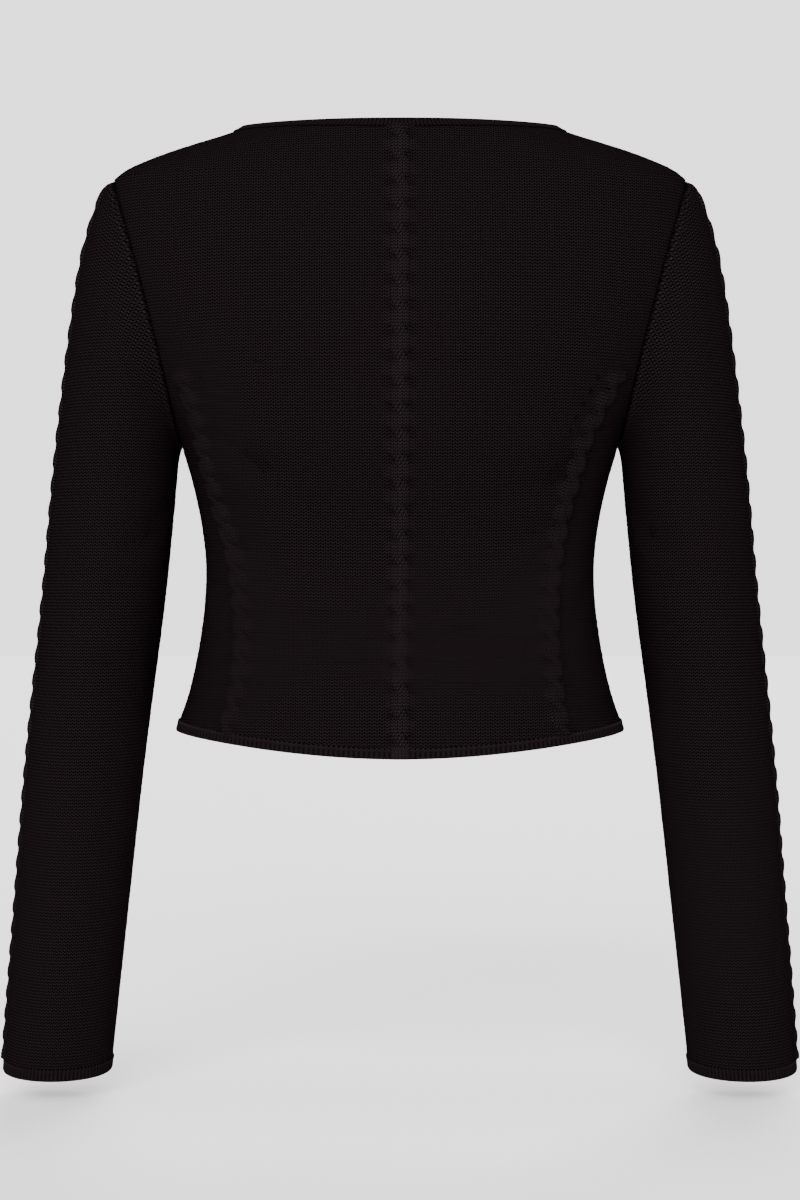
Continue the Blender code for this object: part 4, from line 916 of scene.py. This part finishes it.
def sleeve_sheet(settings, name, sign):
    """A sleeve, finer along its cable, built on the left and mirrored for the right."""
    knit, cable = settings.knit, settings.cable
    end = CUFF_END_Z + CUFF_HEIGHT + SEAM_GAP
    turns = (-math.pi, -SLEEVE_STRIP, SLEEVE_STRIP, math.pi)
    angles = np.concatenate([np.linspace(start, stop, SLEEVE_COLUMNS, endpoint=False)
                             for start, stop in zip(turns, turns[1:])] + [[math.pi]])
    top = CAP_END_Z + (SHOULDER_TIP_Z - CAP_END_Z) * cap_share(angles)
    fall = np.linspace(0.0, 1.0, SLEEVE_ROWS)[:, None]
    flat_z = top + (end - top) * fall
    angle = angles + 0.0 * fall
    z = np.where(flat_z > CAP_END_Z, CAP_END_Z + (flat_z - CAP_END_Z) / cap_share(angle), flat_z)
    points = sleeve_at(angle, z)
    middle = sleeve_at(0 * angle, z) / 2 + sleeve_at(0 * angle + math.pi, z) / 2
    normal = facing(grid_normals(points), points - middle)

    crossings = [SHOULDER_TIP_Z - SLEEVE_CABLE_START]
    while crossings[-1] > CUFF_END_Z:
        down = (crossings[-1] - SHOULDER_TIP_Z) / (CUFF_END_Z - SHOULDER_TIP_Z)
        pitch = SLEEVE_PITCH_TOP + (SLEEVE_PITCH_END - SLEEVE_PITCH_TOP) * down
        crossings.append(crossings[-1] - pitch)
    across = -sign * angle * curve(SLEEVE_FORM, 1, z) / cable.half_width
    phase = np.interp(-z, -np.array(crossings), np.arange(len(crossings)))
    relief, tone = rope(across, phase, cable)
    height = creases(SLEEVE_CREASES, angle * SLEEVE_RADIUS, z)
    height += relief * smooth((SHOULDER_TIP_Z - z) / CABLE_FADE)
    from_seam = (top - end) * fall
    place, width, rise, light = SLEEVE_RIDGE
    ridge = np.exp(-((from_seam - place) / width) ** 2)
    width, depth, dark = SLEEVE_GROOVE
    groove = np.exp(-(from_seam / width) ** 2)
    height += rise * ridge - depth * groove
    # painted highlight on the sleeve seam's ridge and painted shade in its groove
    tone = tone * (1.0 + light * ridge) * (1.0 - dark * groove)
    outer, inner = walls(points, normal, height, knit)
    around = angle * curve(SLEEVE_FORM, 1, np.full_like(z, SLEEVE_STITCH_Z))
    stitch = plain_stitch(around, flat_z, knit)
    stitch = rope_stitch(stitch, across, phase, SLEEVE_PITCH_MEAN, knit, cable)
    if sign < 0:
        outer, inner = outer * (-1, 1, 1), inner * (-1, 1, 1)
    return shell(name, outer, inner, stitch, tone, wrap=True)


def resample(lines, count):
    """Even columns along the first of several dense lines of points."""
    steps = np.linalg.norm(np.diff(lines[0], axis=0), axis=1)
    lengths = np.concatenate(([0.0], np.cumsum(steps)))
    wanted = np.linspace(0.0, lengths[-1], count)
    return [np.stack([np.interp(wanted, lengths, line[:, k]) for k in range(line.shape[1])], -1)
            for line in lines]


def band_stitch(turn, down, knit):
    """Stitch coordinates of ribs: one stitch's mean shade for each rib and course, as the
    ribs themselves are in the shape."""
    ribs = np.floor(0.5 * (turn[:-1, :-1] + turn[:-1, 1:])) + RIB_SPOT[0]
    courses = np.floor(0.5 * (down[:-1, :-1] + down[1:, :-1]) / knit.course) + RIB_SPOT[1]
    return np.repeat(np.stack((ribs, courses), -1)[:, :, None], 4, axis=2)


def rib_height(turn):
    """A rib's round top, from 0 between two ribs to 1."""
    return np.abs(np.sin(np.pi * turn)) ** RIB_POWER


def rib_painted_light_and_shade(band, turn):
    """Painted light and shade of a band, from the painted shade in the dip between two ribs to
    the painted light on a rib's top.
    """
    return band.rib_painted_shade + (band.rib_painted_light - band.rib_painted_shade) * rib_height(turn)


def band_sheet(settings, name, low, high, low_out, high_out, ribs, chain_low, chain_light_share,
               wrap=False, over=None):
    """A ribbed band between two lines, with a linking chain along the one on the panel, and
    painted light and shade on its ribs and chain.
    """
    knit, band = settings.knit, settings.band
    count = ribs * RIB_SAMPLES + 1
    low, high, low_out, high_out = resample([low, high, low_out, high_out], count)
    tall = np.linalg.norm(high - low, axis=1).mean()
    chain = band.chain_height / tall
    rows = np.concatenate((np.linspace(-0.5 * chain, 0.5 * chain, CHAIN_ROWS),
                           np.linspace(0.5 * chain, 1.0, RIB_ROWS)[1:]))
    if not chain_low:
        low, high, low_out, high_out = high, low, high_out, low_out
    place = rows[:, None, None]
    points = low * (1 - place) + high * place
    out = low_out * (1 - np.clip(place, 0, 1)) + high_out * np.clip(place, 0, 1)
    out /= np.linalg.norm(out, axis=-1, keepdims=True)
    turn = np.arange(count) / RIB_SAMPLES
    rib = rib_height(turn) * 2.0 - 1.0
    on_ribs = smooth(0.5 + rows / (RIB_START * chain))[:, None]
    drop = RIB_END_DROP * (rows > RIB_END)[:, None]
    height = band.rib_rise * (rib[None, :] - drop) * on_ribs + CHAIN_BESIDE * (1.0 - on_ribs)
    # painted light on the ribs' tops, painted shade between them and beside the chain
    tone = rib_painted_light_and_shade(band, turn)[None, :] * on_ribs + band.rib_painted_shade * (1.0 - on_ribs)
    zigzag = np.abs((turn % 1.0) - 0.5)[None, :] * 2.0 - 0.5
    off = rows[:, None] * tall - CHAIN_SWING * band.chain_height * zigzag
    ridge = np.exp(-(off / band.chain_yarn) ** 2)
    height = np.maximum(height, band.chain_rise * ridge)
    # painted highlight on the linking chain
    tone = tone + (band.chain_painted_light * chain_light_share - tone) * ridge
    if over is not None:
        relief, light = over(points)
        # the centre cable's painted light and shade where it runs on over the band
        tone = np.where(relief > height, light, tone)
        height = np.maximum(height, relief)
    outer, inner = walls(points, out, height, knit)
    stitch = band_stitch(turn + 0.0 * height, rows[:, None] * tall + 0.0 * height, knit)
    return shell(name, outer, inner, stitch, tone, coarse=(7, 10), wrap=wrap)


def whole_line(front, back):
    """Both halves of a line of points, from the wearer's right front to the left."""
    half = np.concatenate((front, back))
    return np.concatenate((half, (half * (-1, 1, 1))[::-1][1:]))


def sink(points, out):
    """Lower the wearer's left front where it laps under."""
    depth = np.where(points[:, 1] < 0.0, lap(points), 0.0)
    return points - out * depth[:, None]


def body_band(settings, name, ends, ribs, chain_low, chain_light_share, over=None):
    """A band round the body from its lines' shares and heights, on the wearer's right."""
    lines = []
    for (front_share, front_z), (back_share, back_z) in ends:
        points = whole_line(body_at(FRONT, -front_share, front_z),
                            body_at(BACK, -back_share, back_z))
        out = whole_line(body_normal(FRONT, -front_share, front_z),
                         body_normal(BACK, -back_share, back_z))
        lines.append((sink(points, out), out))
    (low, low_out), (high, high_out) = lines
    return band_sheet(settings, name, low, high, low_out, high_out, ribs, chain_low,
                      chain_light_share, over=over)


def hem_sheet(settings):
    """The hem band; the centre cable runs on over it."""
    cable = settings.cable
    start = float(share_at(FRONT, FRONT_EDGE_X, HEM_SIDE_Z)[0])
    fronts = np.linspace(start, 1.0, 160, endpoint=False)
    backs = np.linspace(1.0, 0.0, 161)
    ends = []
    for up in (0.0, HEM_HEIGHT):
        ends.append(((fronts, hem_z(FRONT, fronts) + up), (backs, hem_z(BACK, backs) + up)))

    def over(points):
        across = points[..., 0] / cable.half_width
        relief, light = rope(across, -points[..., 2] / CENTRE_PITCH, cable)
        on_back = (points[..., 1] > 0.0) * (np.abs(across) < 1.0)
        return np.where(on_back, relief, -1.0), light

    return body_band(settings, "hem_knit", ends, settings.band.hem_ribs, False, 1.0, over)


def neck_sheet(settings):
    """The neck band, round the back neck and down both front necklines."""
    parts = np.linspace(1.0, 0.0, 200, endpoint=False)
    backs = np.linspace(1.0, 0.0, 161)
    seam = (front_neck(parts, 1.0), (backs, back_neck_z(backs, NECK_HEIGHT)))
    top = (front_neck(parts, 0.0), (backs, back_neck_z(backs, 0.0)))
    return body_band(settings, "neck_knit", [seam, top], settings.band.neck_ribs, True, 0.4)


def cuff_sheet(settings, name, sign):
    """A cuff, as a closed ring of ribs."""
    angle = np.linspace(0.0, 2.0 * math.pi, 361)
    lines = []
    for z in (CUFF_END_Z, CUFF_END_Z + CUFF_HEIGHT):
        points = sleeve_at(angle, np.full_like(angle, z))
        along = np.gradient(points, axis=0)
        along[0] = along[-1] = points[1] - points[-2]
        up = sleeve_at(angle, np.full_like(angle, z + 0.001)) - points
        out = np.cross(along, up)
        out /= np.linalg.norm(out, axis=-1, keepdims=True)
        out = facing(out, points - points.mean(0))
        mirror = np.array((sign, 1.0, 1.0))
        lines += [points * mirror, out * mirror]
    low, low_out, high, high_out = lines
    return band_sheet(settings, name, low, high, low_out, high_out, settings.band.cuff_ribs,
                      False, 0.7, wrap=True)


def front_band_sheet(settings, name, left, right, depth, slits):
    """A front band with upright ribs from the hem's lower edge to the neckline."""
    knit, band = settings.knit, settings.band
    x = np.linspace(left, right, band.front_ribs * RIB_SAMPLES + 1)
    z = np.linspace(float(hem_z(FRONT, 0.0)), -NECK_DROP_TOP, FRONT_BAND_ROWS)[:, None]
    x, z = x + 0.0 * z, z + 0.0 * x
    share = np.copysign(share_at(FRONT, x.ravel(), z.ravel()).reshape(x.shape), x)
    points = body_at(FRONT, share, z)
    out = body_normal(FRONT, share, z)
    points = points - out * depth
    turn = (x - left) / (right - left) * band.front_ribs
    edge = np.minimum(turn, band.front_ribs - turn)
    height = band.rib_rise * (rib_height(turn) - 0.5)
    height -= BAND_EDGE_DROP * np.exp(-(edge / BAND_EDGE_WIDTH) ** 2)
    for middle in slits:
        past = np.maximum(np.abs(z - middle) - SLIT_LENGTH, 0.0)
        height = height - SLIT_DEPTH * np.exp(-np.hypot(x / SLIT_WIDTH, past / SLIT_WIDTH)**2)
    outer, inner = walls(points, out, height, knit)
    stitch = band_stitch(turn, z, knit)
    # painted light and shade of the ribs
    return shell(name, outer, inner, stitch, rib_painted_light_and_shade(band, turn), coarse=(8, 10))


# ---------------------------------------------------------------- buttons and marks

BUTTON_SIDES, HOLE_SIDES, STRAND_SIDES = 56, 20, 12
# over a button's radius or thickness: its rim, the slope inside it, its dish and its rounding
RIM, SLOPE, DISH, ROUNDING = 0.20, 0.10, 0.28, 0.05
ROUNDED, THREAD_SMOOTH = math.radians(35.0), math.radians(50.0)
# a strand of thread: its radius and rounding over the hole's radius, and its height over the
# button's thickness
STRAND_RADIUS, STRAND_ROUNDING, STRAND_HEIGHT = 0.62, 0.4, 0.80
LOOP_YARN, LOOP_STRETCH = 0.36, (0.8, 1.2, 1.0)
BUTTON_LIFT, RIB_GIVE, MARK_LIFT, BUTTON_REACH = 0.0003, 0.4, 0.2, 0.0057


def add(primitive, **options):
    """Add a primitive with nothing else selected."""
    bpy.ops.object.select_all(action="DESELECT")
    primitive(**options)
    return bpy.context.active_object


def cut_holes(button, offset, radius, depth):
    """Cut four sewing holes through a button."""
    for k in range(4):
        turn = math.pi / 4 + k * math.pi / 2
        spot = (offset * math.cos(turn), offset * math.sin(turn), 0.0)
        drill = add(bpy.ops.mesh.primitive_cylinder_add, vertices=HOLE_SIDES, radius=radius,
                    depth=depth, location=spot)
        select_only(button)
        cut = button.modifiers.new("hole", "BOOLEAN")
        cut.object = drill
        cut.operation = "DIFFERENCE"
        bpy.ops.object.modifier_apply(modifier=cut.name)
        bpy.data.objects.remove(drill, do_unlink=True)


def model_button(settings):
    """One four-hole button with a rim, flat on the XY plane, facing +Z."""
    sizes = settings.button
    button = add(bpy.ops.mesh.primitive_cylinder_add, vertices=BUTTON_SIDES,
                 radius=sizes.radius, depth=sizes.thickness,
                 location=(0.0, 0.0, sizes.thickness / 2))
    bpy.ops.object.transform_apply(location=True, rotation=False, scale=False)
    mesh = button.data
    for face in mesh.polygons:
        face.select = face.normal.z > 0.9
    for edge in mesh.edges:
        edge.select = False
    for vertex in mesh.vertices:
        vertex.select = False
    bpy.ops.object.mode_set(mode="EDIT")
    bpy.ops.mesh.select_mode(type="FACE")
    bpy.ops.mesh.inset(thickness=sizes.radius * RIM, depth=0.0)
    bpy.ops.mesh.inset(thickness=sizes.radius * SLOPE, depth=-sizes.thickness * DISH)
    bpy.ops.object.mode_set(mode="OBJECT")
    cut_holes(button, sizes.hole_offset, sizes.hole_radius, sizes.thickness * 3)
    rounding = button.modifiers.new("rounding", "BEVEL")
    rounding.width = sizes.radius * ROUNDING
    rounding.segments = 3
    rounding.limit_method = "ANGLE"
    rounding.angle_limit = ROUNDED
    bpy.ops.object.modifier_apply(modifier=rounding.name)
    bpy.ops.object.shade_smooth_by_angle(angle=ROUNDED)
    return button


def model_thread(settings):
    """The crossed sewing thread over one button's holes."""
    sizes = settings.button
    parts = []
    for turn in (math.pi / 4, -math.pi / 4):
        strand = add(bpy.ops.mesh.primitive_cylinder_add, vertices=STRAND_SIDES,
                     radius=sizes.hole_radius * STRAND_RADIUS, depth=sizes.hole_offset * 2.0,
                     rotation=(math.pi / 2, 0.0, turn),
                     location=(0.0, 0.0, sizes.thickness * STRAND_HEIGHT))
        bpy.ops.object.transform_apply(location=True, rotation=True, scale=False)
        bpy.ops.object.mode_set(mode="EDIT")
        bpy.ops.mesh.select_all(action="SELECT")
        bpy.ops.mesh.bevel(offset=sizes.hole_radius * STRAND_ROUNDING, segments=2,
                           affect="EDGES")
        bpy.ops.object.mode_set(mode="OBJECT")
        parts.append(strand)
    bpy.ops.object.select_all(action="DESELECT")
    for strand in parts:
        strand.select_set(True)
    bpy.context.view_layer.objects.active = parts[0]
    bpy.ops.object.join()
    bpy.ops.object.shade_smooth_by_angle(angle=THREAD_SMOOTH)
    return parts[0]


def model_mark(radius):
    """One raised loop of yarn, flat on the XY plane."""
    loop = add(bpy.ops.mesh.primitive_torus_add, major_segments=20, minor_segments=8,
               major_radius=radius, minor_radius=radius * LOOP_YARN)
    bpy.ops.object.mode_set(mode="EDIT")
    bpy.ops.mesh.select_all(action="SELECT")
    bpy.ops.transform.resize(value=LOOP_STRETCH)
    bpy.ops.object.mode_set(mode="OBJECT")
    bpy.ops.object.shade_smooth()
    return loop


def back_place(x, z, lift):
    """A frame on the back: its X across, its Y up, its Z out of the cloth."""
    share = np.copysign(share_at(BACK, x, z)[0], x)
    spot = Vector(body_at(BACK, share, z))
    out = Vector(body_normal(BACK, np.array([share]), np.array([z]))[0])
    side = Vector((0.0, 0.0, 1.0)).cross(out).normalized()
    turn = Matrix((side, out.cross(side), out)).transposed().to_4x4()
    return Matrix.Translation(spot + out * lift) @ turn


def front_frame(z):
    """The middle of the buttonhole band at a height, and its upward direction."""
    heights = np.array((z - BUTTON_REACH, z + BUTTON_REACH))
    low, high = body_at(FRONT, np.zeros(2), heights)
    up = Vector(high - low).normalized()
    return Vector((low + high) / 2), up


def place_copy(source, name, place, look):
    """A copy of a model at its place on the garment."""
    made = link(name, source.data.copy())
    made.data.transform(place)
    made.data.materials.append(look)
    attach(made, "root")
    return made


# ---------------------------------------------------------------- operators

SIDES = (("left", 1), ("right", -1))
BUTTONS = ["button_%d" % number for number in range(1, 8)]
FLOOR_SIZE = 30.0
# each light's direction from the garment, and its share of the light's strength
SUNS = {"back_sun": ((0.15, 1.0, 0.40), 1.0), "front_sun": ((-0.15, -1.0, 0.40), 0.9)}


class CARDIGAN_OT_back(bpy.types.Operator):
    """Knit the back panel with its three cables"""

    bl_idname = "cardigan.back"
    bl_label = "Back"

    def execute(self, context):
        settings = context.scene.cardigan
        finish_sheet(settings, back_sheet(settings), "back")
        return {"FINISHED"}


class CARDIGAN_OT_fronts(bpy.types.Operator):
    """Knit both front panels"""

    bl_idname = "cardigan.fronts"
    bl_label = "Fronts"

    def execute(self, context):
        settings = context.scene.cardigan
        for side, sign in SIDES:
            made = front_sheet(settings, "front_%s_knit" % side, sign)
            finish_sheet(settings, made, "front_" + side)
        return {"FINISHED"}


class CARDIGAN_OT_sleeves(bpy.types.Operator):
    """Knit both sleeves with their cables"""

    bl_idname = "cardigan.sleeves"
    bl_label = "Sleeves"

    def execute(self, context):
        settings = context.scene.cardigan
        for side, sign in SIDES:
            made = sleeve_sheet(settings, "sleeve_%s_knit" % side, sign)
            finish_sheet(settings, made, "sleeve_" + side)
        return {"FINISHED"}


class CARDIGAN_OT_bands(bpy.types.Operator):
    """Knit the neck band, the hem band and both cuffs"""

    bl_idname = "cardigan.bands"
    bl_label = "Neck, hem and cuffs"

    def execute(self, context):
        settings = context.scene.cardigan
        finish_sheet(settings, neck_sheet(settings), "neck_band")
        finish_sheet(settings, hem_sheet(settings), "hem_band")
        for side, sign in SIDES:
            made = cuff_sheet(settings, "cuff_%s_knit" % side, sign)
            finish_sheet(settings, made, "cuff_" + side)
        return {"FINISHED"}


class CARDIGAN_OT_front_bands(bpy.types.Operator):
    """Knit the button band and the buttonhole band"""

    bl_idname = "cardigan.front_bands"
    bl_label = "Front bands"

    def execute(self, context):
        settings = context.scene.cardigan
        slits = [np.mean([corner[2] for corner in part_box(button)]) for button in BUTTONS]
        for node, left, depth, cuts in (
                ("button_band", -BAND_HALF_WIDTH + SEAM_GAP, LAP_DEPTH, []),
                ("buttonhole_band", -BAND_HALF_WIDTH, 0.0, slits)):
            made = front_band_sheet(settings, node + "_knit", left, BAND_HALF_WIDTH, depth,
                                    cuts)
            finish_sheet(settings, made, node)
        return {"FINISHED"}


class CARDIGAN_OT_buttons(bpy.types.Operator):
    """Make the seven buttons and the thread that holds them"""

    bl_idname = "cardigan.buttons"
    bl_label = "Buttons"

    def execute(self, context):
        settings = context.scene.cardigan
        plastic = plain_material("button_plastic", settings.button.colour, 0.45, 0.12)
        yarn = plain_material("thread", settings.button.thread_colour, 0.85, 0.0)
        button, thread = model_button(settings), model_thread(settings)
        for node in BUTTONS:
            low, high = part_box(node)
            seat, up = front_frame((low[2] + high[2]) / 2)
            side = Vector((1.0, 0.0, 0.0))
            out = side.cross(up)
            seat += out * (BUTTON_LIFT + settings.band.rib_rise * RIB_GIVE)
            place = Matrix.Translation(seat) @ Matrix((side, up, out)).transposed().to_4x4()
            disc = place_copy(button, node + "_disc", place, plastic)
            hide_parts(node)
            place_copy(thread, node + "_thread", place, yarn)
        for source in (button, thread):
            bpy.data.objects.remove(source, do_unlink=True)
        return {"FINISHED"}


class CARDIGAN_OT_marks(bpy.types.Operator):
    """Put the fashioning marks beside the princess cables"""

    bl_idname = "cardigan.marks"
    bl_label = "Fashioning marks"

    def execute(self, context):
        settings = context.scene.cardigan
        loop = model_mark(settings.mark.radius)
        yarn = plain_material("mark_yarn_painted_shade", settings.mark.colour, settings.knit.roughness,
                              settings.knit.specular)
        for number in range(settings.mark.count):
            z = settings.mark.top - number * settings.mark.pitch
            for side, sign in SIDES:
                x = float(curve(PRINCESS, PRINCESS_COLUMN[sign], np.array([z]))[0])
                place = back_place(sign * (x - settings.mark.inset), z,
                                   settings.mark.radius * MARK_LIFT)
                place_copy(loop, "mark_%s_%d" % (side, number + 1), place, yarn)
        bpy.data.objects.remove(loop, do_unlink=True)
        return {"FINISHED"}


class CARDIGAN_OT_stage(bpy.types.Operator):
    """Set up the floor, the lights and the camera"""

    bl_idname = "cardigan.stage"
    bl_label = "Stage"

    def execute(self, context):
        stage = context.scene.cardigan.stage
        floor = add(bpy.ops.mesh.primitive_plane_add, size=FLOOR_SIZE,
                    location=(0.0, 0.0, stage.floor_height))
        floor.name = "floor"
        floor.data.materials.append(plain_material("floor", stage.floor_colour, 0.9))
        world = bpy.data.worlds.new("studio")
        world.use_nodes = True
        tree = world.node_tree
        light = tree.nodes["Background"].inputs
        light["Color"].default_value = (1.0, 1.0, 1.0, 1.0)
        rays = add_node(tree, "LightPath")
        strength = add_node(tree, "Math", {0: rays.outputs["Is Camera Ray"],
                                           1: stage.backdrop - stage.sky, 2: stage.sky},
                            operation="MULTIPLY_ADD")
        tree.links.new(strength.outputs[0], light["Strength"])
        context.scene.world = world
        for name, (source, share) in SUNS.items():
            lamp = bpy.data.lights.new(name, "SUN")
            lamp.energy = stage.sun * share
            lamp.angle = stage.sun_angle
            made = link(name, lamp)
            made.location = source
            made.rotation_euler = Vector(source).to_track_quat("Z", "Y").to_euler()
        lens = bpy.data.cameras.new("camera")
        lens.sensor_fit = "HORIZONTAL"
        lens.sensor_width = 36.0
        lens.lens = lens.sensor_width * stage.camera_distance / stage.view_width
        camera = link("camera", lens)
        camera.location = (0.0, stage.camera_distance, stage.camera_height)
        camera.rotation_euler = (math.pi / 2, 0.0, math.pi)
        context.scene.camera = camera
        return {"FINISHED"}


class CardiganSettings(bpy.types.PropertyGroup):
    """Everything that the cardigan's operators read."""

    knit: PointerProperty(type=CardiganKnit)
    cable: PointerProperty(type=CardiganCable)
    band: PointerProperty(type=CardiganBand)
    button: PointerProperty(type=CardiganButton)
    mark: PointerProperty(type=CardiganMark)
    stage: PointerProperty(type=CardiganStage)


class CARDIGAN_PT_panel(bpy.types.Panel):
    """Sizes, colours and pieces of the cardigan"""

    bl_idname = "CARDIGAN_PT_panel"
    bl_label = "Cardigan"
    bl_space_type = "VIEW_3D"
    bl_region_type = "UI"
    bl_category = "Cardigan"

    def draw(self, context):
        settings = context.scene.cardigan
        for group in (settings.knit, settings.cable, settings.band, settings.button,
                      settings.mark, settings.stage):
            box = self.layout.box()
            for name in group.__annotations__:
                box.prop(group, name)
        for operator in OPERATORS:
            self.layout.operator(operator.bl_idname)


OPERATORS = (CARDIGAN_OT_back, CARDIGAN_OT_fronts, CARDIGAN_OT_sleeves, CARDIGAN_OT_bands,
             CARDIGAN_OT_front_bands, CARDIGAN_OT_buttons, CARDIGAN_OT_marks,
             CARDIGAN_OT_stage)
CLASSES = (CardiganKnit, CardiganCable, CardiganBand, CardiganButton, CardiganMark,
           CardiganStage, CardiganSettings, CARDIGAN_PT_panel) + OPERATORS


def register():
    """Register every class, and the settings on the scene."""
    for item in CLASSES:
        bpy.utils.register_class(item)
    bpy.types.Scene.cardigan = PointerProperty(type=CardiganSettings)


def unregister():
    """Take away the settings and every class."""
    del bpy.types.Scene.cardigan
    for item in reversed(CLASSES):
        bpy.utils.unregister_class(item)


def main():
    """Dress the frame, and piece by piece."""
    register()
    bpy.ops.cardigan.back()
    bpy.ops.cardigan.fronts()
    bpy.ops.cardigan.sleeves()
    bpy.ops.cardigan.bands()
    bpy.ops.cardigan.front_bands()
    bpy.ops.cardigan.buttons()
    bpy.ops.cardigan.marks()
    bpy.ops.cardigan.stage()


if __name__ == "__main__":
    main()
